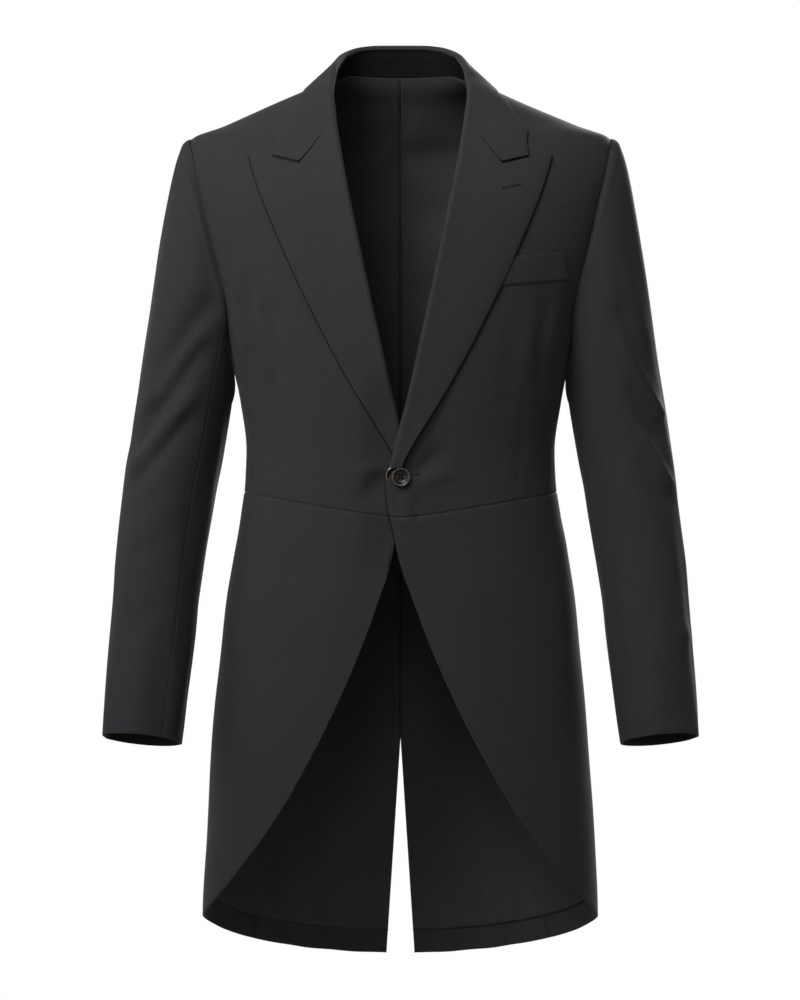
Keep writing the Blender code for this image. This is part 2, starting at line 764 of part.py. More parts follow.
def folded(points, psi, side):
    """Pushes the folds into a ring of the sleeve, square to its axis."""
    p = np.radians(psi)
    before = fold_height(points[:, 0], points[:, 2], SLEEVE_FOLDS[side]) * ease(np.cos(p), 0.0, 0.45)
    lower = points[:, 2] + FOLD_DROP_BEHIND
    behind = fold_height(points[:, 0], lower, SLEEVE_FOLDS[-side]) * ease(-np.cos(p), 0.0, 0.45)
    outward = np.stack([np.sin(p), -np.cos(p), np.zeros_like(p)], axis=-1)
    return points + outward * (before + behind)[:, None]


def sleeve_grid(psi, turn_to, side, shrink=CLOTH / 2):
    psi = np.array(psi)
    first = SLEEVE[0][0]
    start = armhole(psi)
    beside = ease(-np.sin(np.radians(psi)), 0.2, 0.75) * (CLOTH + SLEEVE_CLEAR)
    base = off_body(start[:, 0], start[:, 1], MIDDLE + beside)
    ring, down = sleeve_ring(psi, first, shrink)
    s = np.sin(np.radians(psi))
    c = np.cos(np.radians(psi))
    top = np.clip(s, 0, 1)[:, None] ** 1.5
    under = np.clip(-s, 0, 1)[:, None] ** 1.5
    mid = 1 - top - under
    fore = np.stack([np.full_like(c, 0.014), -0.007 * c, np.full_like(c, -0.012)], axis=-1)
    leave = top * (0.0185, 0, 0.0015) + under * (-0.0073, 0, -0.028) + mid * fore
    arrive = -down * (0.178 * top + 0.020 * under + 0.090 * mid)
    arrive = arrive + under * (-0.0050, 0, 0)
    rows = []
    for t in np.linspace(0, 1, CAP_ROWS + 1) ** 1.35:
        point = (
            (1 - t) ** 3 * base
            + 3 * t * (1 - t) ** 2 * (base + leave)
            + 3 * t * t * (1 - t) * (ring + arrive)
            + t**3 * ring
        )
        rows.append(folded(point, psi, side))
    around = armhole(psi + 1.0) - armhole(psi - 1.0)
    around = off_body(start[:, 0] + around[:, 0], start[:, 1] + around[:, 1], MIDDLE) - base
    cap_normal = unit(np.cross(around, leave))
    lean = np.linalg.norm(np.cross(cap_normal, body_normal(start[:, 0], start[:, 1])), axis=-1)
    rows[0] = rows[0] + unit(leave) * (SLEEVE_START + CLOTH / 2 * lean)[:, None]
    for z in np.linspace(first, SLEEVE[-1][0], SLEEVE_ROWS + 1)[1:]:
        t = (first - z) / (first - SLEEVE[-1][0])
        turned = psi + np.interp(psi, turn_to[0], turn_to[1]) * t
        rows.append(folded(sleeve_ring(turned, z, shrink)[0], turned, side))
    return np.stack(rows)


TOP_TURN = ((-35.0, 162.0), (0.0, HIND_SEAM_TURN))
UNDER_TURN = ((162.0, 325.0), (HIND_SEAM_TURN, 0.0))

for word, side in SIDES:
    for name, psi, turn_to in (
        ("sleeve_top_", PSI_TOP_SLEEVE, TOP_TURN),
        ("sleeve_under_", PSI_UNDER_SLEEVE, UNDER_TURN),
    ):
        points = sleeve_grid(psi, turn_to, side)
        cloth(name + word, pulled_in(points, (SEAM * 1.8, SEAM * 1.8, 0, 0)), side, turned=True)

# Collar: half a strip round the neck, mirrored. The stand rises inside and the leaf falls outside.
STAND_END = 8
ROLL_BACK_DEG = np.array((200.0, 160.0, 125.0, 90.0, 60.0))
ROLL_FRONT_DEG = np.array((270.0, 225.0, 180.0, 135.0, 90.0))
LEAF_SHARES = np.array((0.0, 0.25, 0.50, 0.70, 0.85, 1.0))


def leaf_points():
    table = np.array(COLLAR)
    fold = table[:, :3]
    count = len(fold)
    tangent = unit(np.gradient(fold, axis=0))
    tangent[0] = (1.0, 0.0, 0.0)
    outward = unit(np.stack([-tangent[:, 1], tangent[:, 0], np.zeros(count)], axis=-1))
    rise = unit(np.cross(tangent, outward))
    edge = off_body(table[:, 3], table[:, 4], table[:, 5] - LAPEL_CLOTH / 2)
    radius = ROLL_RADIUS - LAPEL_CLOTH / 2
    level = ROLL_RADIUS - CLOTH
    slope = (edge_of[1](fold[:, 2] + 0.002) - edge_of[1](fold[:, 2] - 0.002)) / 0.004
    across = unit(np.stack([np.ones(count), -slope], axis=-1))
    lower = ease(np.arange(count), 6, 10)[:, None]
    columns = []
    for back_deg, front_deg in zip(ROLL_BACK_DEG, ROLL_FRONT_DEG):
        a = np.radians(back_deg + (front_deg - back_deg) * lower)
        out = ROLL_RADIUS + radius * np.cos(a)
        round_neck = fold + outward * out + rise * (radius * np.sin(a) - radius * (1 - lower))
        spot = fold[:, [0, 2]] + across * out
        on_chest = on_front(spot[:, 0], spot[:, 1], level + radius * np.sin(a[:, 0]))
        columns.append(round_neck + (on_chest - round_neck) * lower)
    start = columns.pop()
    length = np.linalg.norm(edge - start, axis=-1, keepdims=True)
    side_on = unit(np.cross(tangent, unit(edge - start)))
    side_on = np.where((side_on * outward).sum(-1, keepdims=True) < 0, -side_on, side_on)
    corner = np.array([start[-1, [0, 2]], *GORGE[1:], COLLAR_POINT])
    gorge = resample(corner, LEAF_SHARES, 3, 0.70)
    straight = corner[0] + (corner[-1] - corner[0]) * LEAF_SHARES[:, None]
    for share, bent, plain in zip(LEAF_SHARES, gorge, straight):
        fullness = 0.0004 + 0.015 * length + lower * (0.0008 + 0.035 * length)
        lift = 4 * share * (1 - share) * fullness
        round_neck = start + (edge - start) * share + side_on * lift
        spot = round_neck[:, [0, 2]] + (bent - plain) * lower**2
        away = length[:, 0] * share
        height = COLLAR_HEIGHT + (ROLL_HEIGHT - COLLAR_HEIGHT) * np.exp(-away / 0.018)
        on_chest = on_front(spot[:, 0], spot[:, 1], height - LAPEL_CLOTH / 2)
        columns.append(round_neck + (on_chest - round_neck) * lower)
    return np.stack(columns, axis=1)


leaf = leaf_points()
leaf[0, :, 0] = 0.0
leaf = pulled_in(leaf, (0, 0, 0, SEAM * 1.4))
leaf[0, :, 0] = 0.0
cloth("collar_leaf", leaf, wall=LAPEL_CLOTH, turned=True, both=True)

# Stand: from the neck seam up to the fold
seam = np.array(NECK_SEAM)
upper = leaf[: len(seam), 0]
down = unit(seam - upper)
upper = upper + down * SEAM * 2
shares = np.array((0.0, 0.5, 1.0))[:, None]
stand = np.stack([low + (high - low) * shares for low, high in zip(seam, upper)])
stand[0, :, 0] = 0.0
cloth("collar_stand", stand, turned=True, both=True)

# Breast welt, laid on the left front
WELT_COLS = 6
corners = np.array(WELT)
u = np.linspace(0, 1, WELT_COLS)[:, None]
low = corners[0] + (corners[1] - corners[0]) * u
high = corners[3] + (corners[2] - corners[3]) * u
flat = np.stack([low, (low + high) / 2, high])
points = on_front(flat[..., 0], flat[..., 1], np.full(flat.shape[:2], 0.0004 + WELT_CLOTH / 2))
cloth("breast_welt", points, 1, WELT_CLOTH)

# Lining of the back, in two halves with a seam between, and of each skirt
INSIDE = np.array(-CLOTH - LINING_CLEAR - LINING / 2)
SKIRT_INSIDE = INSIDE - 0.0006
LINING_EDGE = 0.0014
LINING_TOP = 0.0052
HEM_TURN_UP = 0.027
FACING = 0.100

for word, side in SIDES:
    grid = back_grid(HEM_TURN_UP)
    points = off_body(grid[..., 0], grid[..., 1], INSIDE)
    edges = (0, LINING_EDGE, 0, LINING_TOP)
    cloth("lining_back_" + word, pulled_in(points, edges), side, LINING, satin, True, False)
    u = SKIRT_TURNS[LINING_FROM:]
    grid = skirt_grid(side, HEM_TURN_UP + FACING * (1 - u) ** 3, u)
    points = off_body(grid[..., 0], grid[..., 1], SKIRT_INSIDE, side)
    edges = (0, LINING_EDGE, 0, LINING_EDGE)
    cloth("lining_skirt_" + word, pulled_in(points, edges), side, LINING, satin)

# Buttons: a turned disc with a raised rim, four holes in the one that shows

def button(name, x, z, radius, thick, lift, side):
    """Turned about its own axis, facing out of the coat."""
    rim = (
        (0.0, 0.35),
        (0.62, 0.35),
        (0.72, 0.85),
        (0.86, 1.00),
        (1.00, 0.70),
        (1.00, 0.30),
        (0.86, 0.0),
        (0.0, 0.0),
    )
    centre = on_front(np.array(side * x), np.array(z), np.array(lift), side) * (side, 1, 1)
    points = [(0.0, rim[0][1] * thick, 0.0)]
    for r, h in rim[1:-1]:
        for k in range(BUTTON_SIDES):
            a = 2 * math.pi * k / BUTTON_SIDES
            points.append((r * radius * math.cos(a), h * thick, r * radius * math.sin(a)))
    points.append((0.0, 0.0, 0.0))
    faces = []
    rings = len(rim) - 2
    for k in range(BUTTON_SIDES):
        n = (k + 1) % BUTTON_SIDES
        faces.append((0, 1 + k, 1 + n))
        for r in range(rings - 1):
            a = 1 + r * BUTTON_SIDES
            faces.append((a + k, a + BUTTON_SIDES + k, a + BUTTON_SIDES + n, a + n))
        a = 1 + (rings - 1) * BUTTON_SIDES
        faces.append((a + k, len(points) - 1, a + n))
    points = np.array(points) * (1, -1, 1) + centre
    return mesh_object(name, points, faces, horn), centre


front_button, centre = button("button_front", *FRONT_BUTTON, 0.0006, 1)
button("button_link", *LINK_BUTTON, 0.0018, -1)
for i, (dx, dz) in enumerate(((1, 1), (1, -1), (-1, 1), (-1, -1))):
    ring = [2 * math.pi * k / 8 for k in range(8)]
    x = centre[0] + dx * BUTTON_HOLE_AT
    z = centre[2] + dz * BUTTON_HOLE_AT
    points = [
        (x + BUTTON_HOLE * math.cos(a), centre[1] + y, z + BUTTON_HOLE * math.sin(a))
        for y in (0.002, -0.008)
        for a in ring
    ]
    faces = [(k, (k + 1) % 8, 8 + (k + 1) % 8, 8 + k) for k in range(8)]
    faces += [tuple(range(8))[::-1], tuple(range(8, 16))]
    hole = mesh_object("hole_%d" % i, points, faces, horn, cutters)
    hole.hide_render = True
    hole.display_type = "WIRE"
    cut = front_button.modifiers.new("hole", "BOOLEAN")
    cut.operation = "DIFFERENCE"
    cut.solver = "EXACT"
    cut.object = hole
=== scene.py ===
"""Morning coat with peak lapels, filled out as worn with no wearer.

The cloth, lining, seams, stitches and buttons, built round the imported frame. Metres, +Z up.
The front of the coat faces -Y and the wearer's left is +X. Each piece is shaped on the wearer's left
and mirrored where it belongs on the right.
"""

import math

import bpy
import numpy as np
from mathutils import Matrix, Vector


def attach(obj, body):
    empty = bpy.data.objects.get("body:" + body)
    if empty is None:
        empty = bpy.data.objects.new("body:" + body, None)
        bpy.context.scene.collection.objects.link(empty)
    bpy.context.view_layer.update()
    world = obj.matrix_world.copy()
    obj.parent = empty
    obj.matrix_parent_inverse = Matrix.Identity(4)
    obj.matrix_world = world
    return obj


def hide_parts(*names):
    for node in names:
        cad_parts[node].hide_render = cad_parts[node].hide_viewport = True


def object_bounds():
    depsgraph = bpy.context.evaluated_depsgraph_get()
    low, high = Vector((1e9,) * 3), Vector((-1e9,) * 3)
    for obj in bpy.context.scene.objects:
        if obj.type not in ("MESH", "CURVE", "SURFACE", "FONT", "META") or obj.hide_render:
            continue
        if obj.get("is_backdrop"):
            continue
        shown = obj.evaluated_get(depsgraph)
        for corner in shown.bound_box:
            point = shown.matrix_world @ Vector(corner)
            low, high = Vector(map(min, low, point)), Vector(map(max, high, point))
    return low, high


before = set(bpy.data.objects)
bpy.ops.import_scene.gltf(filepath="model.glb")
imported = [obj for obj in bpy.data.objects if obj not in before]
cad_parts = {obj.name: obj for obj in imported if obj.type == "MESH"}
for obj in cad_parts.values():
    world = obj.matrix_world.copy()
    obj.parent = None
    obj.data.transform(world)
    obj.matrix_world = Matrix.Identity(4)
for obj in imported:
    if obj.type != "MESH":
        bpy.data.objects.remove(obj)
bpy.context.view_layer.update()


# Foreparts
# The two fronts of the coat, charcoal wool over a sewn canvas, cut from the shoulder seam to the waist seam.
# They are pressed into a soft oval round the body. The left one closes over the right one.

CLOTH = 0.0020
SEAM_DEPTH = 0.0011
SEAM_HALF = 0.0013
SIDES = (("left", 1), ("right", -1))

# Height, half width, depth in front, depth behind
BODY = (
    (-0.975, 0.2190, 0.1300, 0.1330),
    (-0.900, 0.2182, 0.1300, 0.1315),
    (-0.826, 0.2144, 0.1290, 0.1290),
    (-0.750, 0.2100, 0.1280, 0.1260),
    (-0.680, 0.2050, 0.1265, 0.1225),
    (-0.620, 0.1985, 0.1250, 0.1175),
    (-0.560, 0.1923, 0.1240, 0.1110),
    (-0.510, 0.1838, 0.1235, 0.1040),
    (-0.461, 0.1757, 0.1235, 0.0970),
    (-0.428, 0.1713, 0.1245, 0.0950),
    (-0.395, 0.1702, 0.1265, 0.0970),
    (-0.345, 0.1765, 0.1310, 0.1040),
    (-0.310, 0.1835, 0.1335, 0.1090),
    (-0.275, 0.1925, 0.1345, 0.1145),
    (-0.235, 0.2040, 0.1340, 0.1200),
    (-0.205, 0.2150, 0.1325, 0.1235),
    (-0.170, 0.2260, 0.1290, 0.1255),
    (-0.130, 0.2360, 0.1225, 0.1255),
    (-0.090, 0.2425, 0.1080, 0.1230),
    (-0.062, 0.2390, 0.0930, 0.1180),
    (-0.052, 0.2326, 0.0870, 0.1150),
    (-0.0385, 0.1970, 0.0772, 0.1090),
    (-0.025, 0.1660, 0.0680, 0.1030),
    (0.001, 0.1066, 0.0480, 0.0900),
    (0.013, 0.0800, 0.0380, 0.0820),
    (0.025, 0.0755, 0.0330, 0.0780),
)
SQUARENESS = 2.2

# Front edge and roll of the lapel: height, left front's distance from the middle, right front's
EDGE = (
    (-0.5035, -0.0037, 0.0045),
    (-0.4703, -0.0112, -0.0028),
    (-0.4550, -0.0140, -0.0050),
    (-0.4393, -0.0155, -0.0071),
    (-0.4254, -0.0146, -0.0062),
    (-0.3987, -0.0080, -0.0045),
    (-0.3731, -0.0016, -0.0005),
    (-0.3432, 0.0062, 0.0066),
    (-0.3134, 0.0130, 0.0138),
    (-0.2836, 0.0195, 0.0201),
    (-0.2237, 0.0328, 0.0334),
    (-0.1635, 0.0450, 0.0459),
    (-0.1023, 0.0577, 0.0583),
    (-0.0707, 0.0634, 0.0638),
    (-0.0312, 0.0691, 0.0697),
    (-0.0046, 0.0712, 0.0712),
)
ROLL_HEIGHT = 0.0062
ROLL_CLEAR = 0.0009
NECK_CLEAR = 0.0018
INSET_FROM = (-0.4320, -0.4185)
NECK_FROM = (-0.040, -0.020)

# Outer edge of the lapel, from its peak down to the button: height, distance from the middle
LAPEL_EDGE = (
    (-0.4150, 0.0015),
    (-0.4072, 0.0045),
    (-0.3944, 0.0112),
    (-0.3688, 0.0267),
    (-0.3303, 0.0502),
    (-0.2918, 0.0717),
    (-0.2531, 0.0915),
    (-0.2143, 0.1104),
    (-0.1752, 0.1278),
    (-0.1359, 0.1442),
    (-0.1094, 0.1542),
    (-0.0770, 0.1639),
)
LAPEL_END = {1: -0.4150, -1: -0.4020}

# The left front stands out at the closing and the right one goes in behind it
CLOSE_OUT = 0.0025
CLOSE_IN = 0.0070
CLOSE_TOP = (-0.300, -0.362)
CLOSE_LOW = (-0.500, -0.560)
CLOSE_SIDE = (0.048, 0.012)

WAIST_FRONT = -0.4690
WAIST_SIDE = -0.4412
WAIST_BACK = -0.4480
SIDE_SEAM_WAIST_DEG = 78.0
SHOULDER_SEAM_DEG = 97.0
SHOULDER_NECK_Z = 0.0130

ARMHOLE_MID_DEG = 92.0
ARMHOLE_HALF_DEG = 27.0
ARMHOLE_MID_Z = -0.1620
ARMHOLE_HALF_Z = 0.1100
ARMHOLE_POWER = 3.0

# Creases of each front, seen from the front: from x, z to x, z, half width, height; troughs are negative
FRONT_FOLDS = {
    1: (
        (0.176, -0.205, 0.158, -0.300, 0.009, 0.0022),
        (0.160, -0.235, 0.147, -0.335, 0.009, -0.0024),
        (0.142, -0.250, 0.136, -0.345, 0.010, 0.0018),
        (0.1360, -0.300, 0.1275, -0.432, 0.005, -0.0010),
        (0.120, -0.260, 0.116, -0.360, 0.012, -0.0012),
        (0.012, -0.424, 0.046, -0.396, 0.009, -0.0036),
        (0.020, -0.432, 0.058, -0.420, 0.008, 0.0020),
        (0.014, -0.446, 0.019, -0.474, 0.005, -0.0036),
        (0.006, -0.446, 0.008, -0.480, 0.006, 0.0024),
        (-0.004, -0.444, -0.002, -0.470, 0.004, -0.0014),
        (0.100, -0.560, 0.150, -0.700, 0.034, -0.0018),
        (0.175, -0.480, 0.182, -0.640, 0.012, 0.0016),
        (0.060, -0.520, 0.110, -0.760, 0.030, 0.0014),
    ),
    -1: (
        (0.180, -0.196, 0.166, -0.292, 0.009, 0.0026),
        (0.167, -0.205, 0.154, -0.300, 0.008, -0.0018),
        (0.155, -0.222, 0.146, -0.318, 0.010, 0.0020),
        (0.138, -0.240, 0.132, -0.330, 0.010, -0.0018),
        (0.124, -0.250, 0.120, -0.340, 0.010, 0.0012),
        (0.1340, -0.320, 0.1290, -0.430, 0.005, -0.0010),
        (0.018, -0.424, 0.044, -0.454, 0.010, -0.0034),
        (0.014, -0.414, 0.050, -0.420, 0.008, 0.0022),
        (0.012, -0.440, 0.016, -0.474, 0.006, 0.0020),
        (0.090, -0.505, 0.148, -0.572, 0.026, -0.0022),
        (0.148, -0.572, 0.122, -0.660, 0.026, -0.0016),
        (0.060, -0.530, 0.080, -0.700, 0.030, 0.0014),
        (0.172, -0.500, 0.176, -0.660, 0.014, 0.0014),
    ),
}


def curve(table, key, value):
    """A smooth line through two columns of a table, with no overshoot."""
    xs = np.array([row[key] for row in table], float)
    ys = np.array([row[value] for row in table], float)
    order = np.argsort(xs)
    xs = xs[order]
    ys = ys[order]
    step = np.diff(xs)
    rise = np.diff(ys) / step
    slope = np.zeros(len(xs))
    slope[0] = rise[0]
    slope[-1] = rise[-1]
    for i in range(1, len(xs) - 1):
        if rise[i - 1] * rise[i] > 0:
            near = 2 * step[i] + step[i - 1]
            far = step[i] + 2 * step[i - 1]
            slope[i] = (near + far) / (near / rise[i - 1] + far / rise[i])

    def at(x):
        x = np.clip(np.asarray(x, float), xs[0], xs[-1])
        i = np.clip(np.searchsorted(xs, x) - 1, 0, len(xs) - 2)
        t = (x - xs[i]) / step[i]
        return (
            ys[i] * (1 + 2 * t) * (1 - t) ** 2
            + ys[i + 1] * t * t * (3 - 2 * t)
            + step[i] * (slope[i] * t * (1 - t) ** 2 - slope[i + 1] * t * t * (1 - t))
        )

    return at


half_width = curve(BODY, 0, 1)
depth_front = curve(BODY, 0, 2)
depth_back = curve(BODY, 0, 3)
edge_of = {1: curve(EDGE, 0, 1), -1: curve(EDGE, 0, 2)}


def ease(x, start, end):
    t = np.clip((np.asarray(x, float) - start) / (end - start), 0, 1)
    return t * t * (3 - 2 * t)


def unit(v):
    return v / np.maximum(np.linalg.norm(v, axis=-1, keepdims=True), 1e-12)


def joined(*parts):
    """Points from their coordinates, each an array or one number for all."""
    return np.stack(np.broadcast_arrays(*parts), axis=-1)


def closing(across, z, side):
    amount = ease(z, *CLOSE_TOP) * ease(z, *reversed(CLOSE_LOW)) * ease(across, *CLOSE_SIDE)
    return amount * (CLOSE_OUT if side > 0 else -CLOSE_IN)


def body(turn, z, side=1):
    """The form at this turn round the body from the middle of the front, in degrees, and this height."""
    turn = np.radians(np.asarray(turn, float))
    z = np.asarray(z, float)
    power = 2 / SQUARENESS
    s = np.sin(turn)
    c = np.cos(turn)
    x = half_width(z) * np.sign(s) * np.abs(s) ** power
    front = -(depth_front(z) + closing(x, z, side)) * np.abs(c) ** power
    back = depth_back(z) * np.abs(c) ** power
    y = np.where(c > 0, front, back)
    return joined(x, y, z)


# Steps over which the slope of the form is taken: degrees of turn, metres of height
NORMAL_STEP_DEG = 0.2
NORMAL_STEP = 0.0006


def body_normal(turn, z, side=1):
    turn = np.asarray(turn, float)
    z = np.asarray(z, float)
    around = body(turn + NORMAL_STEP_DEG, z, side) - body(turn - NORMAL_STEP_DEG, z, side)
    up = body(turn, z + NORMAL_STEP, side) - body(turn, z - NORMAL_STEP, side)
    return unit(np.cross(around, up))


def turn_of(x, z, behind=False):
    share = np.clip(np.abs(x) / half_width(z), 0, 1)
    turn = np.degrees(np.arcsin(share ** (SQUARENESS / 2))) * np.sign(x)
    return 180 - turn if behind else turn


def in_turns(x, z, behind=False):
    return joined(turn_of(x, z, behind), z)


def bump(distance, half):
    """A soft bump, 1 high at no distance and nearly gone at twice its half width."""
    return np.exp(-((distance / half) ** 2))


def beside_line(x, z, x0, z0, x1, z1):
    """How far each x, z is along a line and off it, and the length of the line."""
    run = np.array([x1 - x0, z1 - z0])
    length = np.linalg.norm(run)
    run = run / length
    return (x - x0) * run[0] + (z - z0) * run[1], (z - z0) * run[0] - (x - x0) * run[1], length


def fold_height(x, z, folds):
    """Height that a list of folds adds at x, z: each is a soft ridge or trough that fades at its ends."""
    total = np.zeros(np.shape(x))
    for x0, z0, x1, z1, half, height in folds:
        ahead, off, length = beside_line(x, z, x0, z0, x1, z1)
        ends = ease(ahead, -half, 1.5 * half) * ease(length - ahead, -half, 1.5 * half)
        total = total + height * ends * bump(off, half)
    return total


# Slow unevenness of pressed cloth: waves across, waves up, start of each, height
UNEVEN = (
    (23.0, 11.0, 0.4, 0.00035),
    (-31.0, 17.0, 1.9, 0.00028),
    (48.0, -22.0, 3.1, 0.00020),
    (14.0, 41.0, 5.0, 0.00022),
)


def uneven(x, z, shift=0.0):
    total = np.zeros(np.shape(x))
    for across, up, start, height in UNEVEN:
        total = total + height * np.sin(across * x + up * z + start + shift)
    return total


# Creases behind, one set for each half of the back, with their numbers in the same order
BACK_FOLDS = {
    1: (
        (0.030, -0.420, 0.120, -0.380, 0.012, 0.0018),
        (0.035, -0.400, 0.130, -0.350, 0.013, -0.0020),
        (0.025, -0.455, 0.110, -0.430, 0.012, -0.0014),
        (0.168, -0.175, 0.150, -0.290, 0.011, 0.0022),
        (0.150, -0.180, 0.130, -0.280, 0.012, -0.0018),
        (0.060, -0.520, 0.072, -0.760, 0.016, 0.0020),
        (0.120, -0.540, 0.130, -0.720, 0.020, -0.0016),
    ),
    -1: (
        (0.028, -0.412, 0.115, -0.365, 0.012, 0.0020),
        (0.040, -0.432, 0.128, -0.404, 0.012, -0.0018),
        (0.030, -0.385, 0.120, -0.335, 0.014, -0.0014),
        (0.172, -0.180, 0.156, -0.300, 0.011, 0.0020),
        (0.148, -0.190, 0.134, -0.300, 0.012, -0.0020),
        (0.052, -0.500, 0.066, -0.720, 0.018, 0.0018),
        (0.128, -0.560, 0.134, -0.760, 0.018, -0.0018),
    ),
}
# Waves of the tails: distance from the middle, half width, height at the hem, top
TAIL_WAVES = (
    (0.050, 0.013, -0.0022, -0.700),
    (0.078, 0.012, 0.0030, -0.740),
    (0.103, 0.011, -0.0034, -0.780),
    (0.125, 0.010, 0.0036, -0.790),
    (0.147, 0.010, -0.0030, -0.800),
    (0.170, 0.011, 0.0024, -0.780),
)
TAIL_HEM = -0.955
# The waves lean over by this much, and the front's creases give way to those behind between these turns
TAIL_LEAN = 0.012
SIDE_BLEND_DEG = (78.0, 102.0)
# Moves the unevenness so that no two parts of the coat share it
FRONT_SHIFT = 1.3
BACK_SHIFT = 2.1


def drape(x, z, side, behind):
    """Height of the creases at x, z on this half of the coat, in front or behind."""
    if not behind:
        return fold_height(x, z, FRONT_FOLDS[side]) + uneven(x, z, FRONT_SHIFT * side)
    total = fold_height(x, z, BACK_FOLDS[side]) + uneven(x, z, BACK_SHIFT * side)
    for middle, half, height, top in TAIL_WAVES:
        lean = TAIL_LEAN * side * ease(z, TAIL_HEM, top)
        total = total + height * ease(z, top, TAIL_HEM) * bump(x - middle + lean, half)
    return total


def creases(turn, z, side):
    """The drape round the body, blended from the front to the back at the side."""
    x = body(turn, z, side)[..., 0]
    share = ease(turn, *SIDE_BLEND_DEG)
    return drape(x, z, side, False) * (1 - share) + drape(x, z, side, True) * share


def undraped(place, side):
    """Points of the undraped form at these turns and heights."""
    return body(place[..., 0], place[..., 1], side)


def on_body(place, height, side):
    """Points of the draped coat at these turns and heights, this high above its outer face."""
    turn = place[..., 0]
    z = place[..., 1]
    lift = np.asarray(height) + creases(turn, z, side)
    return undraped(place, side) + body_normal(turn, z, side) * lift[..., None]


def on_front(place, height, side=1):
    """The point that shows at each x, z in a front view, this high above the draped front of the coat."""
    x = place[..., 0]
    z = place[..., 1]
    lift = np.asarray(height) + drape(x, z, side, False)
    bx = x
    bz = z
    for _ in range(3):
        n = body_normal(turn_of(bx, bz), bz, side)
        bx = x - n[..., 0] * lift
        bz = z - n[..., 2] * lift
    turn = turn_of(bx, bz)
    return body(turn, bz, side) + body_normal(turn, bz, side) * lift[..., None]


def path_lengths(points, axis):
    step = np.linalg.norm(np.diff(points, axis=axis), axis=-1)
    start = np.zeros_like(np.take(step, [0], axis=axis))
    return np.concatenate([start, np.cumsum(step, axis=axis)], axis=axis)


# Distances of the closest points from a sewn edge
AT_SEAM = (0.0, 0.0005, 0.0010, 0.0016, 0.0024, 0.0036, 0.0052)


def shares(length, cell, first=False, last=False):
    """Steps from 0 to 1 along a piece, about a cell apart and closer at a sewn end."""
    head = np.array(AT_SEAM if first else (0.0,)) / length
    tail = 1 - np.array(AT_SEAM if last else (0.0,))[::-1] / length
    count = max(2, int(round((tail[0] - head[-1]) * length / cell)) + 1)
    return np.concatenate([head[:-1], np.linspace(head[-1], tail[0], count), tail[1:]])


def at_index(line, index):
    """Points of a smooth line through a list of points, at these places in the list."""
    rows = np.column_stack([np.arange(len(line)), line])
    return np.stack([curve(rows, 0, k + 1)(index) for k in range(line.shape[1])], axis=-1)


# Metres for a degree of turn and for a metre of height, which makes an even measure along a seam
PATH_SCALE = np.array([0.0028, 1.0])


def path_share(points):
    length = path_lengths(points * PATH_SCALE, 0)
    return length / length[-1]


def patch(left, right, bottom, top, u, top_fall=1):
    """Grid of turns and heights between four edges. A higher top_fall fades the top's bend sooner."""
    v = path_share(0.5 * (left + right))[:, None, None]
    u = u[None, :, None]
    sides = (1 - u) * left[:, None] + u * right[:, None]
    low_bend = bottom - (1 - u[0]) * bottom[0] - u[0] * bottom[-1]
    high_bend = top - (1 - u[0]) * top[0] - u[0] * top[-1]
    return sides + (1 - v) * low_bend + v**top_fall * high_bend


def sewn(points, edges):
    """How deep each point sinks towards the sewn edges: left, right, bottom, top."""
    across = path_lengths(points, 1)
    up = path_lengths(points, 0)
    away = (across, across[:, -1:] - across, up, up[-1:] - up)
    depth = np.zeros(points.shape[:2])
    for distance, is_sewn in zip(away, edges):
        if is_sewn:
            depth = np.maximum(depth, bump(distance, SEAM_HALF))
    return SEAM_DEPTH * depth


def grid_normals(points, turned):
    along = np.gradient(points, axis=1)
    up = np.gradient(points, axis=0)
    out = unit(np.cross(along, up))
    return -out if turned else out


def add_object(name, data):
    made = bpy.data.objects.new(name, data)
    bpy.context.scene.collection.objects.link(made)
    return made


def dresses(piece, node_name):
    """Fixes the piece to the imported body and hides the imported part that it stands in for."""
    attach(piece, "root")
    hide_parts(node_name)


# Share of the wall that its edges are rounded by, and the sharpest bend that isn't an edge
EDGE_ROUND = 0.36
EDGE_BEND_DEG = 55


def cloth_piece(name, points, side, wall, finish, turned=False, shadow_line=None):
    """A sheet of cloth through these points, with a wall, rounded edges, and its cut size as its UV map.

    The shadow line given is each point's distance from a line along which a shadow is painted into the
    colour, such as beside a lapel's edge.
    """
    rows, cols = points.shape[:2]
    mesh = bpy.data.meshes.new(name)
    place = (points * (side, 1, 1)).reshape(-1, 3)
    a = (np.arange(rows - 1)[:, None] * cols + np.arange(cols - 1)).ravel()
    faces = np.stack([a, a + 1, a + cols + 1, a + cols], axis=-1)
    if turned != (side < 0):
        faces = faces[:, ::-1]
    mesh.from_pydata(place.tolist(), [], faces.tolist())
    flat = joined(path_lengths(points, 1), path_lengths(points, 0)).reshape(-1, 2)
    layer = mesh.uv_layers.new(name="cut")
    layer.data.foreach_set("uv", flat[faces.ravel()].astype(np.float32).ravel())
    mesh.polygons.foreach_set("use_smooth", [True] * len(faces))
    if shadow_line is not None:
        shadow_attribute = mesh.attributes.new("shadow_line", "FLOAT", "POINT")
        shadow_attribute.data.foreach_set("value", (1 + shadow_line).astype(np.float32).ravel())
    mesh.materials.append(finish)
    piece = add_object(name + "_cloth", mesh)
    solid = piece.modifiers.new("wall", "SOLIDIFY")
    solid.thickness = wall
    solid.offset = 0
    rounded = piece.modifiers.new("edge", "BEVEL")
    rounded.width = wall * EDGE_ROUND
    rounded.segments = 2
    rounded.limit_method = "ANGLE"
    rounded.angle_limit = math.radians(EDGE_BEND_DEG)
    dresses(piece, name)
    return piece


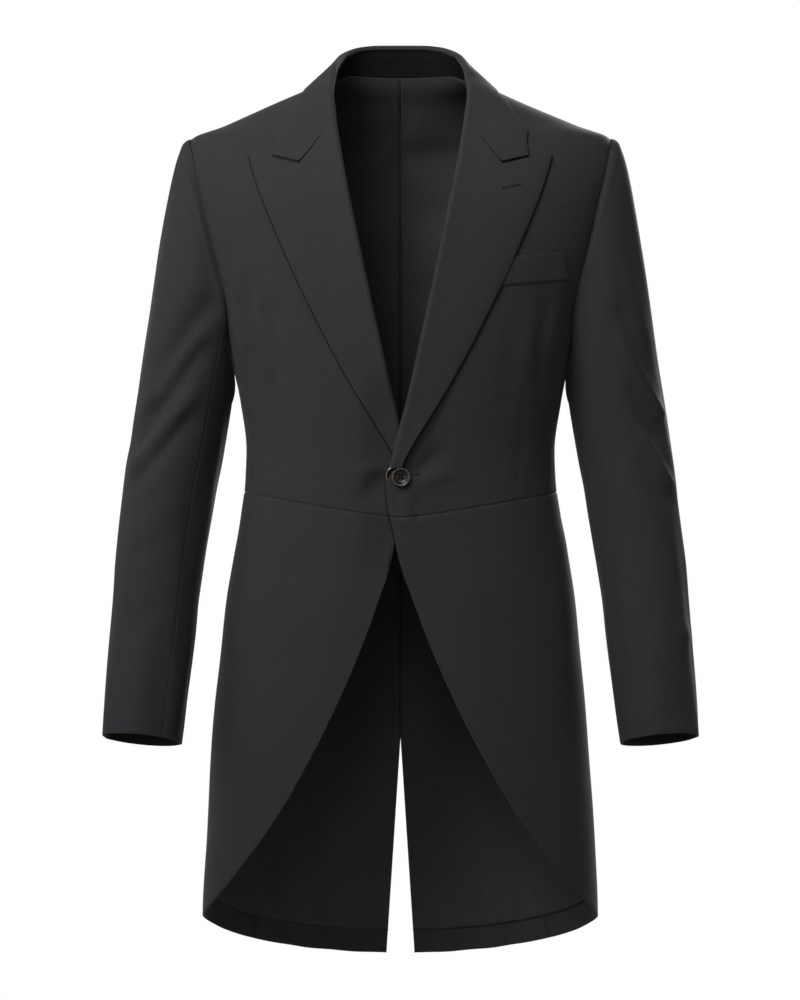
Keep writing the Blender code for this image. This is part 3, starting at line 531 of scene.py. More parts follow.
def linear(hex_colour):
    """An sRGB hex colour as the linear one that a shader takes."""
    parts = [int(hex_colour[i : i + 2], 16) / 255 for i in (1, 3, 5)]
    return [c / 12.92 if c <= 0.04045 else ((c + 0.055) / 1.055) ** 2.4 for c in parts] + [1.0]


def node(tree, kind, values=(), **settings):
    """Adds a node with its settings. values pairs each input with a constant or with a socket to link."""
    made = tree.nodes.new(kind)
    for key, value in settings.items():
        setattr(made, key, value)
    for key, value in dict(values).items():
        if isinstance(value, bpy.types.NodeSocket):
            tree.links.new(value, made.inputs[key])
        else:
            made.inputs[key].default_value = value
    return made


def new_material(name, constants):
    """A new material with these constants on its shader."""
    made = bpy.data.materials.new(name)
    made.use_nodes = True
    shader = made.node_tree.nodes["Principled BSDF"]
    for key, value in constants.items():
        shader.inputs[key].default_value = value
    return made, made.node_tree, shader


# Worsted wool in a fine plain weave: threads 0.4 mm apart, dyed charcoal in the yarn and clear-cut, so it is
# matt with a faint nap that lights up where it turns away. Its threads are drawn 1 mm wide so that they show,
# and each keeps its tone for 12 mm.
THREAD = 0.0010
SLUB = 0.012
# Painted shadow: the colour darkens over this half width by the lapels' edges, the notch and the left front's
# edge
SHADOW_HALF = 0.0012
SHADOW_STRENGTH = 0.85


def woven_wool(name, dark, light):
    constants = {"Roughness": 0.88, "Specular IOR Level": 0.06, "Sheen Weight": 0.06}
    constants.update({"Sheen Roughness": 0.40, "Sheen Tint": linear("#b9b9c0")})
    made, tree, shader = new_material(name, constants)
    cut = node(tree, "ShaderNodeUVMap", uv_map="cut").outputs[0]
    warp = node(tree, "ShaderNodeMapping", {"Vector": cut, "Scale": (1 / THREAD, 1 / SLUB, 1)}).outputs[0]
    weft = node(tree, "ShaderNodeMapping", {"Vector": cut, "Scale": (1 / SLUB, 1 / THREAD, 1)}).outputs[0]
    up = node(tree, "ShaderNodeTexNoise", {"Vector": warp, "Scale": 1.0, "Detail": 2.0}).outputs[0]
    over = node(tree, "ShaderNodeTexNoise", {"Vector": weft, "Scale": 1.0, "Detail": 2.0}).outputs[0]
    both = node(tree, "ShaderNodeMath", {0: up, 1: over}, operation="ADD").outputs[0]
    fibres = node(tree, "ShaderNodeTexNoise", {"Vector": cut, "Scale": 900.0, "Detail": 1.0}).outputs[0]
    yarn = node(tree, "ShaderNodeMath", {0: both, 1: fibres}, operation="ADD").outputs[0]
    tones = {"Value": yarn, "From Min": 1.15, "From Max": 1.85, "To Min": 0.0, "To Max": 1.0}
    tone = node(tree, "ShaderNodeMapRange", tones).outputs[0]
    dyes = {"Factor": tone, 6: linear(dark), 7: linear(light)}
    colour = node(tree, "ShaderNodeMix", dyes, data_type="RGBA").outputs[2]
    # Painted shadow: the colour is mixed towards near black along the lines in the point attribute read here
    shadow_attribute = node(tree, "ShaderNodeAttribute", attribute_name="shadow_line").outputs["Fac"]
    away = node(tree, "ShaderNodeMath", {0: shadow_attribute, 1: 1.0}, operation="SUBTRACT").outputs[0]
    widths = node(tree, "ShaderNodeMath", {0: away, 1: SHADOW_HALF}, operation="DIVIDE").outputs[0]
    squared = node(tree, "ShaderNodeMath", {0: widths, 1: 2.0}, operation="POWER").outputs[0]
    fall = node(tree, "ShaderNodeMath", {0: squared, 1: -1.0}, operation="MULTIPLY").outputs[0]
    line = node(tree, "ShaderNodeMath", {0: fall}, operation="EXPONENT").outputs[0]
    depth = node(tree, "ShaderNodeMath", {0: line, 1: SHADOW_STRENGTH}, operation="MULTIPLY").outputs[0]
    painted_shadow = {"Factor": depth, 6: colour, 7: linear("#050505")}
    shaded = node(tree, "ShaderNodeMix", painted_shadow, data_type="RGBA").outputs[2]
    tree.links.new(shaded, shader.inputs["Base Color"])
    relief = node(tree, "ShaderNodeBump", {"Height": yarn, "Strength": 0.16, "Distance": 0.0003})
    tree.links.new(relief.outputs[0], shader.inputs["Normal"])
    return made


wool = woven_wool("charcoal_worsted_wool", "#151516", "#1b1b1d")

# Silk buttonhole twist, black, two-ply: its smooth turns catch a little light.
constants = {"Base Color": linear("#080808"), "Roughness": 0.60, "Specular IOR Level": 0.12}
twist, tree, shader = new_material("black_silk_twist", constants)
place = node(tree, "ShaderNodeTexCoord").outputs["Object"]
plies = node(tree, "ShaderNodeTexWave", {"Vector": place, "Scale": 900.0, "Distortion": 1.0}).outputs[0]
relief = node(tree, "ShaderNodeBump", {"Height": plies, "Strength": 0.3, "Distance": 0.0001})
tree.links.new(relief.outputs[0], shader.inputs["Normal"])


# Sewn by hand, no two stitches have quite one length
STITCH_SHORTEST = 0.88
STITCH_LONGEST = 1.12


def stitch_tree():
    """Nodes that set stitches at even steps along a mesh's edges, each turned to the aim of its place."""
    tree = bpy.data.node_groups.new("stitches", "GeometryNodeTree")
    face = tree.interface
    face.new_socket("Line", in_out="INPUT", socket_type="NodeSocketGeometry")
    for label in ("Spacing", "Stitch Length", "Thread Width"):
        face.new_socket(label, in_out="INPUT", socket_type="NodeSocketFloat")
    face.new_socket("Seed", in_out="INPUT", socket_type="NodeSocketInt")
    face.new_socket("Thread", in_out="INPUT", socket_type="NodeSocketMaterial")
    face.new_socket("Stitches", in_out="OUTPUT", socket_type="NodeSocketGeometry")
    given = node(tree, "NodeGroupInput").outputs
    line = node(tree, "GeometryNodeMeshToCurve", {"Mesh": given["Line"]})
    spaced = {0: line.outputs[0], "Length": given["Spacing"]}
    steps = node(tree, "GeometryNodeCurveToPoints", spaced, mode="LENGTH")
    aim = node(tree, "GeometryNodeInputNamedAttribute", {"Name": "aim"}, data_type="FLOAT_VECTOR")
    turn = node(tree, "FunctionNodeAlignRotationToVector", {"Vector": aim.outputs[0]}, axis="Z")
    chance = {2: STITCH_SHORTEST, 3: STITCH_LONGEST, "Seed": given["Seed"]}
    share = node(tree, "FunctionNodeRandomValue", chance, data_type="FLOAT")
    lengths = {0: given["Stitch Length"], 1: share.outputs[1]}
    long = node(tree, "ShaderNodeMath", lengths, operation="MULTIPLY").outputs[0]
    wide = given["Thread Width"]
    size = node(tree, "ShaderNodeCombineXYZ", {0: wide, 1: wide, 2: long})
    stitch = node(tree, "GeometryNodeMeshUVSphere", {"Segments": 8, "Rings": 6, "Radius": 0.5})
    spread = {"Points": steps.outputs[0], "Instance": stitch.outputs[0]}
    spread.update({"Rotation": turn.outputs[0], "Scale": size.outputs[0]})
    placed = node(tree, "GeometryNodeInstanceOnPoints", spread)
    real = node(tree, "GeometryNodeRealizeInstances", {0: placed.outputs[0]})
    smooth = node(tree, "GeometryNodeSetShadeSmooth", {0: real.outputs[0]})
    done = node(tree, "GeometryNodeSetMaterial", {0: smooth.outputs[0], "Material": given["Thread"]})
    node(tree, "NodeGroupOutput", {0: done.outputs[0]})
    return tree


STITCHES = stitch_tree()


def keep_result(piece, modifier):
    """Makes what the modifier does to the piece its own mesh."""
    bpy.context.view_layer.update()
    graph = bpy.context.evaluated_depsgraph_get()
    made = bpy.data.meshes.new_from_object(piece.evaluated_get(graph))
    piece.modifiers.remove(modifier)
    piece.data = made


def stitches(name, lines, aims, gauge, stands_for):
    """Stitches along lines of points, as one mesh. Each aim is the way a stitch lies at its point.

    gauge is the spacing, the length and the width of the stitches.
    """
    mesh = bpy.data.meshes.new(name)
    edges = []
    count = 0
    for line in lines:
        edges.extend((count + k, count + k + 1) for k in range(len(line) - 1))
        count += len(line)
    mesh.from_pydata(np.concatenate(lines).tolist(), edges, [])
    layer = mesh.attributes.new("aim", "FLOAT_VECTOR", "POINT")
    layer.data.foreach_set("vector", np.concatenate(aims).astype(np.float32).ravel())
    piece = add_object(name, mesh)
    maker = piece.modifiers.new("stitches", "NODES")
    maker.node_group = STITCHES
    asked = {"Seed": 7, "Thread": twist}
    asked.update(zip(("Spacing", "Stitch Length", "Thread Width"), gauge))
    for socket in STITCHES.interface.items_tree:
        if socket.name in asked:
            maker[socket.identifier] = asked[socket.name]
    keep_result(piece, maker)
    dresses(piece, stands_for)
    return piece


# Both buttonholes, seen from the front: from x, z to x, z
FRONT_HOLE = (0.0090, -0.4234, 0.0212, -0.4230)
LAPEL_HOLE = (0.1088, -0.1152, 0.1306, -0.1103)
HOLE_GAUGE = (0.00055, 0.0031, 0.0007)
HOLE_POINTS = 24


def buttonhole(name, slit, height, stands_for):
    """Close stitches across the slit, on a line along its middle."""
    start, end = np.reshape(slit, (2, 2))
    line = on_front(start + (end - start) * np.linspace(0, 1, HOLE_POINTS)[:, None], height)
    run = unit(np.gradient(line, axis=0))
    across = unit(np.cross(run, (0.0, 1.0, 0.0)))
    return stitches(name, [line], [across], HOLE_GAUGE, stands_for)


def waist_height(turn):
    s = np.abs(np.sin(np.radians(turn)))
    front = WAIST_FRONT + (WAIST_SIDE - WAIST_FRONT) * s**1.1
    back = WAIST_BACK + (WAIST_SIDE - WAIST_BACK) * s
    return np.where(np.asarray(turn) < 90, front, back)


def armhole(arm_turn):
    """The armhole on the body, at this turn round it from the front."""
    p = np.radians(np.asarray(arm_turn, float))
    power = 2 / ARMHOLE_POWER
    c = np.cos(p)
    s = np.sin(p)
    turn = ARMHOLE_MID_DEG - ARMHOLE_HALF_DEG * np.sign(c) * np.abs(c) ** power
    z = ARMHOLE_MID_Z + ARMHOLE_HALF_Z * np.sign(s) * np.abs(s) ** power
    return joined(turn, z)


# Turns round the armhole at which the shoulder seam and the side seam end
SHOULDER_ARM_TURN = 94.6
SIDE_TOP_ARM_TURN = -60.0
SHOULDER_END = armhole(SHOULDER_ARM_TURN)
SIDE_TOP = armhole(SIDE_TOP_ARM_TURN)
SIDE_SEAM_BOW_DEG = 2.0
# Step between the points of a piece
CELL = 0.0045

# A painted shadow line fades this many times faster past its ends than across it
END_FADE = 3
# How far outside the edge of the lapel and of the left front the darkest part of the painted shadow lies
LAPEL_OFF = 0.0006
UNDER_OFF = 0.0004
# Slit of the notch, between the collar and the lapel: from x, z to x, z
NOTCH = (0.1092, -0.0878, 0.1385, -0.0794)
# Heights between which the edge of the left front lies on the right side
UNDER_EDGE = (-0.506, -0.434)
lapel_edge = curve(LAPEL_EDGE, 0, 1)


def slope_of(line, at, step):
    return (line(at + step) - line(at - step)) / (2 * step)


def from_line(off, past):
    """Distance from a line, with the sign of its side, of a point this far off it and past its end."""
    return np.sign(off + 1e-9) * np.sqrt(off**2 + (END_FADE * past) ** 2)


def lapel_line(points, side):
    """How far each point lies outside the edge of the lapel, seen from the front."""
    z = points[..., 2]
    inside = np.clip(z, LAPEL_END[side], LAPEL_EDGE[-1][0])
    slope = slope_of(lapel_edge, inside, 0.001)
    off = (points[..., 0] - lapel_edge(inside)) / np.sqrt(1 + slope**2) - LAPEL_OFF
    return from_line(off, z - inside)


def notch_line(points):
    ahead, off, length = beside_line(points[..., 0], points[..., 2], *NOTCH)
    return from_line(off, ahead - np.clip(ahead, 0, length))


def under_edge(points):
    """How far each point of the right side lies from the edge of the left front, which lies on it."""
    inside = np.clip(points[..., 2], *UNDER_EDGE)
    return from_line(points[..., 0] + edge_of[1](inside) - UNDER_OFF, points[..., 2] - inside)


def nearer(one, other):
    return np.where(np.abs(one) < np.abs(other), one, other)


def forepart_edge(z, side):
    inset = (ROLL_HEIGHT + CLOTH) / 2 + ROLL_CLEAR
    return edge_of[side](z) + inset * ease(z, *INSET_FROM) + NECK_CLEAR * ease(z, *NECK_FROM)


def side_seam(t):
    waist = np.array([SIDE_SEAM_WAIST_DEG, waist_height(SIDE_SEAM_WAIST_DEG)])
    line = waist + (SIDE_TOP - waist) * t[:, None]
    line[:, 0] += SIDE_SEAM_BOW_DEG * np.sin(np.pi * t)
    return line


def shoulder_seam(t):
    z = SHOULDER_NECK_Z + (SHOULDER_END[1] - SHOULDER_NECK_Z) * t
    turn = SHOULDER_SEAM_DEG + (SHOULDER_END[0] - SHOULDER_SEAM_DEG) * t
    return joined(turn, z)


# Rows of the forepart from the waist to the neck: height at the front edge, then how far that is along the
# side seam, or the turn round the armhole where the row ends there
SIDE_ROWS = 7
EDGE_ROWS = (-0.4480, -0.4320, -0.4185, -0.3900, -0.3550, -0.3120, -0.2670)
EDGE_ROWS += (-0.2230, -0.1790, -0.1380, -0.1000, -0.0660, -0.0340, -0.0046)
ARMHOLE_ROWS = (SIDE_TOP_ARM_TURN, -35.0, -15.0, 5.0, 25.0, 45.0, 64.0, 80.0, SHOULDER_ARM_TURN)
# The cloth sinks softly beside the sleeve
ARM_HOLLOW = 0.0011
ARM_HOLLOW_HALF = 0.0080
ARM_HOLLOW_ROWS = (SIDE_ROWS + 1, SIDE_ROWS + 4)
FORE_LENGTH = 0.500
FORE_WIDTH = 0.230


def level_edge(start, end, u, height_at):
    """An edge from one turn to another, each point at the height that its turn has."""
    turns = start + (end - start) * u
    return joined(turns, height_at(turns))


def row_line(index, rows, start):
    """A line that follows a seam first and the armhole after."""
    first = start(np.clip(index / SIDE_ROWS, 0, 1))
    turns = np.interp(index - SIDE_ROWS, np.arange(len(rows)), rows)
    return np.where((index > SIDE_ROWS)[:, None], armhole(turns), first)


for word, side in SIDES:
    index = shares(FORE_LENGTH, CELL, True, True) * (SIDE_ROWS + len(ARMHOLE_ROWS) - 1)
    right = row_line(index, ARMHOLE_ROWS, side_seam)
    low = float(waist_height(turn_of(edge_of[side](WAIST_FRONT), WAIST_FRONT)))
    heights = np.r_[low, EDGE_ROWS]
    neck_end = [[SHOULDER_SEAM_DEG, SHOULDER_NECK_Z]]
    edge_line = np.concatenate([in_turns(forepart_edge(heights, side), heights), neck_end])
    to_neck = at_index(edge_line, index)
    z = to_neck[:, 1]
    on_edge = in_turns(forepart_edge(z, side), z)
    left = np.where((index > len(EDGE_ROWS))[:, None], to_neck, on_edge)
    u = shares(FORE_WIDTH, CELL, False, True)
    bottom = level_edge(left[0, 0], SIDE_SEAM_WAIST_DEG, u, waist_height)
    bottom[0] = left[0]
    grid = patch(left, right, bottom, shoulder_seam(u), u)
    base = undraped(grid, side)
    sink = sewn(base, (False, True, True, True))
    width = path_lengths(base, 1)
    beside_arm = bump(width[:, -1:] - width, ARM_HOLLOW_HALF)
    sink = sink + ARM_HOLLOW * beside_arm * ease(index, *ARM_HOLLOW_ROWS)[:, None]
    points = on_body(grid, -CLOTH / 2 - sink, side)
    # Shadow is painted along the lapel's edge and the notch, and on the right front along the left front's
    # edge
    line = nearer(lapel_line(points, side), notch_line(points))
    if side < 0:
        line = nearer(line, under_edge(points))
    piece = cloth_piece("front_" + word, points, side, CLOTH, wool, shadow_line=line)
    if side > 0:
        buttonhole("buttonhole_front", FRONT_HOLE, 0.0001, "front_left")


# Side bodies
# The narrow panels under the arms, between the side seam and the curved seam of the back.
# Same wool, sewn at both edges and to the skirt below, with the armhole above.

# Seam between the back and the side body, then the pleat below the waist: height, distance from the middle
BACK_SEAM = (
    (-0.9600, 0.1720),
    (-0.8800, 0.1500),
    (-0.8000, 0.1270),
    (-0.7200, 0.1060),
    (-0.6400, 0.0880),
    (-0.5600, 0.0740),
    (-0.4900, 0.0650),
    (-0.4480, 0.0620),
    (-0.4000, 0.0660),
    (-0.3500, 0.0740),
    (-0.3000, 0.0880),
    (-0.2600, 0.1040),
    (-0.2200, 0.1290),
    (-0.1900, 0.1540),
    (-0.1660, 0.1800),
)
SWOOP_ARM_TURN = 178.0
SWOOP_TOP = armhole(SWOOP_ARM_TURN)
UNDER_ARM = (300.0, 275.0, 254.0, 235.0, 215.0, 196.0, SWOOP_ARM_TURN)
# Shares of the back seam between which it bends over to the armhole
SWOOP_BEND = (0.4, 1.0)
# Share of a seam's depth to which the cloth sinks under the sleeve
ARMHOLE_SINK = 0.2
SIDE_LENGTH = 0.290
SIDE_WIDTH = 0.130
back_seam = curve(BACK_SEAM, 0, 1)


def seam_turn(z):
    """Turn of the back seam at this height, and of the pleat below it."""
    return turn_of(back_seam(z), z, True)


def waist_corner():
    """Height at which the back seam meets the waist seam."""
    z = WAIST_BACK
    for _ in range(4):
        z = float(waist_height(seam_turn(z)))
    return z


WAIST_CORNER = waist_corner()


def swoop(t):
    z = WAIST_CORNER + (SWOOP_TOP[1] - WAIST_CORNER) * t
    line = joined(seam_turn(z), z)
    top = seam_turn(SWOOP_TOP[1])
    line[:, 0] += (SWOOP_TOP[0] - top) * ease(t, *SWOOP_BEND)
    return line


for word, side in SIDES:
    t = shares(SIDE_LENGTH, CELL, True, True)
    u = shares(SIDE_WIDTH, CELL, True, True)
    left = side_seam(t)
    right = swoop(t)
    bottom = level_edge(left[0, 0], right[0, 0], u, waist_height)
    arm_turn = np.interp(u, np.linspace(0, 1, len(UNDER_ARM)), UNDER_ARM)
    grid = patch(left, right, bottom, armhole(arm_turn), u)
    base = undraped(grid, side)
    at_armhole = ARMHOLE_SINK * sewn(base, (False, False, False, True))
    sink = np.maximum(sewn(base, (True, True, True, False)), at_armhole)
    points = on_body(grid, -CLOTH / 2 - sink, side)
    piece = cloth_piece("side_" + word, points, side, CLOTH, wool)


# Backs
# Each half of the back runs in one piece from the neck to the hem of the tail. The halves are sewn down the
# middle to the waist and on, then open into the vent. The long edge below the waist is the fold of the pleat.

# Lower edge of the coat, from the front edge round to the middle of the back: turn, height
CUT = (
    (1.0, -0.5035),
    (1.5, -0.5215),
    (3.8, -0.5507),
    (7.9, -0.5956),
    (12.8, -0.6407),
    (18.3, -0.6858),
    (25.0, -0.7310),
    (32.9, -0.7767),
    (41.5, -0.8150),
    (50.5, -0.8450),
    (60.0, -0.8712),
    (70.0, -0.8894),
    (80.0, -0.9025),
    (92.0, -0.9112),
    (105.0, -0.9212),
    (118.0, -0.9332),
    (136.5, -0.9482),
    (153.0, -0.9587),
    (167.0, -0.9645),
    (180.0, -0.9668),
)
NECK_BACK_Z = 0.0250
VENT_TOP = -0.7205
VENT_HALF = 0.0160
VENT_EASE = 0.006
HEM_BACK = -0.966
BACK_ROWS = (SWOOP_ARM_TURN, 162.0, 146.0, 128.0, 110.0, SHOULDER_ARM_TURN)
BACK_CELL = CELL * 0.8
# Share of the top edge that is the neck, which stays level up to this turn. The rest is the shoulder seam.
NECK_SHARE = 3 / 8
LEVEL_NECK_DEG = 135.0
TOP_FALL = 8
TAIL_LENGTH = 0.510
UPPER_LENGTH = 0.470
BACK_WIDTH = 0.130
cut_height = curve(CUT, 0, 1)


def pleat_foot(rise):
    """Height at which the pleat meets the hem, or a line this far above the hem."""
    z = TAIL_HEM
    for _ in range(9):
        z = float(cut_height(seam_turn(z))) + rise
    return z


def centre_back(z):
    """The middle of the back, which opens into the vent."""
    return in_turns(VENT_HALF * np.clip((VENT_TOP - z) / (VENT_TOP - HEM_BACK), 0, 1), z, True)


def centre_seam(base):
    """How deep the points of a back sink towards the centre seam, which ends at the vent."""
    return sewn(base, (True, False, False, False)) * ease(base[..., 2], VENT_TOP, VENT_TOP + VENT_EASE)


def back_grid(hem_rise, cell, u):
    tail = shares(TAIL_LENGTH, cell, False, False)
    upper = shares(UPPER_LENGTH, cell, False, True)[1:]
    pleat_z = pleat_foot(hem_rise)
    pleat_z = pleat_z + (WAIST_CORNER - pleat_z) * tail
    index = upper * (SIDE_ROWS + len(BACK_ROWS) - 1)
    right = np.concatenate([joined(seam_turn(pleat_z), pleat_z), row_line(index, BACK_ROWS, swoop)])
    foot = float(cut_height(180.0)) + hem_rise
    z = np.r_[foot + (WAIST_CORNER - foot) * tail, WAIST_CORNER + (NECK_BACK_Z - WAIST_CORNER) * upper]
    left = centre_back(z)
    bottom = level_edge(left[0, 0], right[0, 0], u, cut_height) + (0, hem_rise)
    bottom[0] = left[0]
    neck_turn = left[-1, 0] + (SHOULDER_SEAM_DEG - left[-1, 0]) * np.clip(u / NECK_SHARE, 0, 1)
    fall = ease(neck_turn, LEVEL_NECK_DEG, SHOULDER_SEAM_DEG)
    neck_z = NECK_BACK_Z + (SHOULDER_NECK_Z - NECK_BACK_Z) * fall
    seam = shoulder_seam(np.clip((u - NECK_SHARE) / (1 - NECK_SHARE), 0, 1))
    top = np.where((u <= NECK_SHARE)[:, None], joined(neck_turn, neck_z), seam)
    return patch(left, right, bottom, top, u, TOP_FALL)


for word, side in SIDES:
    grid = back_grid(0.0, CELL, shares(BACK_WIDTH, BACK_CELL, True, True))
    base = undraped(grid, side)
    sink = np.maximum(centre_seam(base), sewn(base, (False, True, False, True)))
    points = on_body(grid, -CLOTH / 2 - sink, side)
    piece = cloth_piece("back_" + word, points, side, CLOTH, wool, turned=True)


# Skirts
# They hang from the waist seam and are cut away in front, in one sweep from the button to the hem behind.
# The front edge is faced and pressed flat, and the edge at the back goes into the pleat of the tail.

# Each skirt starts this far from the first turn of the cut, the left one before it and the right one after
CUT_SHIFT_DEG = 1.35
CUT_START_DEG = CUT[0][0]
SKIRT_LENGTH = 0.480
SKIRT_WIDTH = 0.330
# Brings the columns closer together towards the front edge
SKIRT_CROWD = 1.25


def skirt_grid(side, rise, t, u):
    start = turn_of(edge_of[side](WAIST_FRONT), WAIST_FRONT)
    finish = seam_turn(WAIST_CORNER)
    foot_z = pleat_foot(float(np.broadcast_to(rise, u.shape)[-1]))
    foot = seam_turn(foot_z)
    shift = CUT_SHIFT_DEG * side
    top_turn = start + (finish - start) * u
    low_turn = (CUT_START_DEG - shift) + (foot - CUT_START_DEG + shift) * u
    low = cut_height(low_turn + shift * (1 - u)) + rise
    high = waist_height(top_turn)
    t = t[:, None]
    z = low + (high - low) * t
    turn = low_turn + (top_turn - low_turn) * t
    pleat_z = foot_z + (WAIST_CORNER - foot_z) * t[:, 0]
    pleat = seam_turn(pleat_z)
    bend = pleat - (pleat[0] + (pleat[-1] - pleat[0]) * t[:, 0])
    turn = turn + bend[:, None] * u**3
    return joined(turn, z)


for word, side in SIDES:
    t = shares(SKIRT_LENGTH, CELL, False, True)
    u = shares(SKIRT_WIDTH, CELL, False, True) ** SKIRT_CROWD
    grid = skirt_grid(side, 0.0, t, u)
    sink = sewn(undraped(grid, side), (False, True, False, True))
    points = on_body(grid, -CLOTH / 2 - sink, side)
    # Shadow is painted on the right skirt along the edge of the left front
    line = under_edge(points) if side < 0 else None
    piece = cloth_piece("skirt_" + word, points, side, CLOTH, wool, shadow_line=line)


# Linings
# Black satin felled inside the back, the tails and the skirts, with a seam down the middle of the back.
# It stops above the hem and behind the cutaway edge, where the wool is turned in to face it.

LINING = 0.0010
LINING_CLEAR = 0.0014
INSIDE = -CLOTH - LINING_CLEAR - LINING / 2
LINING_SINK = 0.15
HEM_TURN_UP = 0.027
FACING = 0.100
LINING_CELL = 0.0070
LINING_FROM = 0.090

# Soft fullness of the back lining, seen from the front: from x, z to x, z, half width, height into the coat
LINING_FOLDS = (
    (0.034, 0.012, 0.012, -0.040, 0.014, 0.0034),
    (0.010, -0.052, 0.046, -0.110, 0.016, 0.0030),
    (0.052, -0.120, 0.022, -0.190, 0.016, 0.0030),
    (0.026, -0.210, 0.040, -0.330, 0.014, 0.0026),
    (0.070, -0.150, 0.064, -0.300, 0.018, 0.0034),
)
# The folds lie this much lower on the wearer's left than where they are given, and higher on the right
FOLD_OFFSET = 0.012
FELLING_GAUGE = (0.0050, 0.0034, 0.0004)
FELLING_SLANT = 0.8

# Cupro satin: black, its long floats smooth, so it takes a soft sheen along the folds. Its floats are drawn
# 1.1 mm wide and 11 mm long so that they show, at this many to a metre across and along the cloth.
SATIN_FLOATS = (900, 90, 1)


def satin_weave(name, colour, roughness, shine):
    constants = {"Base Color": linear(colour), "Roughness": roughness, "Specular IOR Level": shine}
    made, tree, shader = new_material(name, constants)
    cut = node(tree, "ShaderNodeUVMap", uv_map="cut").outputs[0]
    floats = node(tree, "ShaderNodeMapping", {"Vector": cut, "Scale": SATIN_FLOATS}).outputs[0]
    grain = node(tree, "ShaderNodeTexNoise", {"Vector": floats, "Scale": 1.0, "Detail": 2.0}).outputs[0]
    relief = node(tree, "ShaderNodeBump", {"Height": grain, "Strength": 0.10, "Distance": 0.0002})
    tree.links.new(relief.outputs[0], shader.inputs["Normal"])
    return made


satin = satin_weave("black_lining_satin", "#191918", 0.62, 0.08)


def felling(name, points, side, turned, stands_for):
    """Slanting stitches that hold the lower edge of a lining to the wool behind it."""
    line = points[0] * (side, 1, 1)
    run = unit(np.gradient(line, axis=0))
    inward = -grid_normals(points, turned)[0] * (side, 1, 1)
    aim = run * FELLING_SLANT + unit(np.cross(run, inward))
    place = line + inward * (LINING / 2)
    return stitches(name, [place], [aim], FELLING_GAUGE, stands_for)


def line_inside(part, points, side, turned):
    """Lays a lining inside a part of the coat and fells its lower edge."""
    name = "lining_" + part
    piece = cloth_piece(name, points, side, LINING, satin, turned=turned)
    hem = felling("felling_" + part, points, side, turned, name)


for word, side in SIDES:
    grid = back_grid(HEM_TURN_UP, LINING_CELL, shares(BACK_WIDTH, LINING_CELL, True, True))
    base = undraped(grid, side)
    rise = np.maximum(centre_seam(base), LINING_SINK * sewn(base, (False, True, False, False)))
    full = fold_height(base[..., 0], base[..., 2] + FOLD_OFFSET * side, LINING_FOLDS)
    line_inside("back_" + word, on_body(grid, INSIDE + rise - full, side), side, True)
    u = LINING_FROM + (1 - LINING_FROM) * shares(SKIRT_WIDTH, LINING_CELL, False, True)
    t = shares(SKIRT_LENGTH, LINING_CELL)
    grid = skirt_grid(side, HEM_TURN_UP + FACING * (1 - u) ** 3, t, u)
    rise = LINING_SINK * sewn(undraped(grid, side), (False, True, False, False))
    line_inside("skirt_" + word, on_body(grid, INSIDE + rise, side), side, False)


# Sleeves
# Two-piece sleeves, the top one full over the arm and the under one close to the body, sewn front and back.
# The cap is eased into the armhole and rises over it, and the cloth breaks into folds above the elbow.

# Sleeve below the cap: height, distance from the middle, y, half width, half depth
SLEEVE = (
    (-0.3350, 0.2382, 0.0040, 0.0522, 0.0640),
    (-0.3616, 0.2423, 0.0050, 0.0522, 0.0625),
    (-0.3948, 0.2478, 0.0050, 0.0520, 0.0610),
    (-0.4279, 0.2536, 0.0030, 0.0512, 0.0595),
    (-0.4610, 0.2577, 0.0000, 0.0503, 0.0575),
    (-0.4941, 0.2619, -0.0045, 0.0494, 0.0555),
    (-0.5272, 0.2658, -0.0105, 0.0486, 0.0535),
    (-0.5599, 0.2689, -0.0165, 0.0474, 0.0515),
    (-0.5925, 0.2716, -0.0230, 0.0470, 0.0500),
    (-0.6250, 0.2746, -0.0295, 0.0462, 0.0485),
    (-0.6574, 0.2776, -0.0362, 0.0452, 0.0470),
    (-0.6897, 0.2805, -0.0430, 0.0443, 0.0455),
    (-0.7115, 0.2825, -0.0475, 0.0434, 0.0445),
)
HIND_SEAM_TURN = -20.0
SLEEVE_START = 0.0003
SLEEVE_CLEAR = 0.0009
# A soft roll where the cap is eased in: distance from the seam, half width, height
HEAD_AT = 0.0085
HEAD_HALF = 0.0050
HEAD_ROLL = 0.0010
HEAD_FADE = (-0.9, 0.1)
CAP_LENGTH = 0.170
ARM_LENGTH = 0.380
# Turns round the arm from seam to seam, how far each seam turns on its way to the cuff, and the width
TOP_SLEEVE = (-35.0, 162.0, 0.0, HIND_SEAM_TURN, 0.210)
UNDER_SLEEVE = (162.0, 325.0, HIND_SEAM_TURN, 0.0, 0.180)

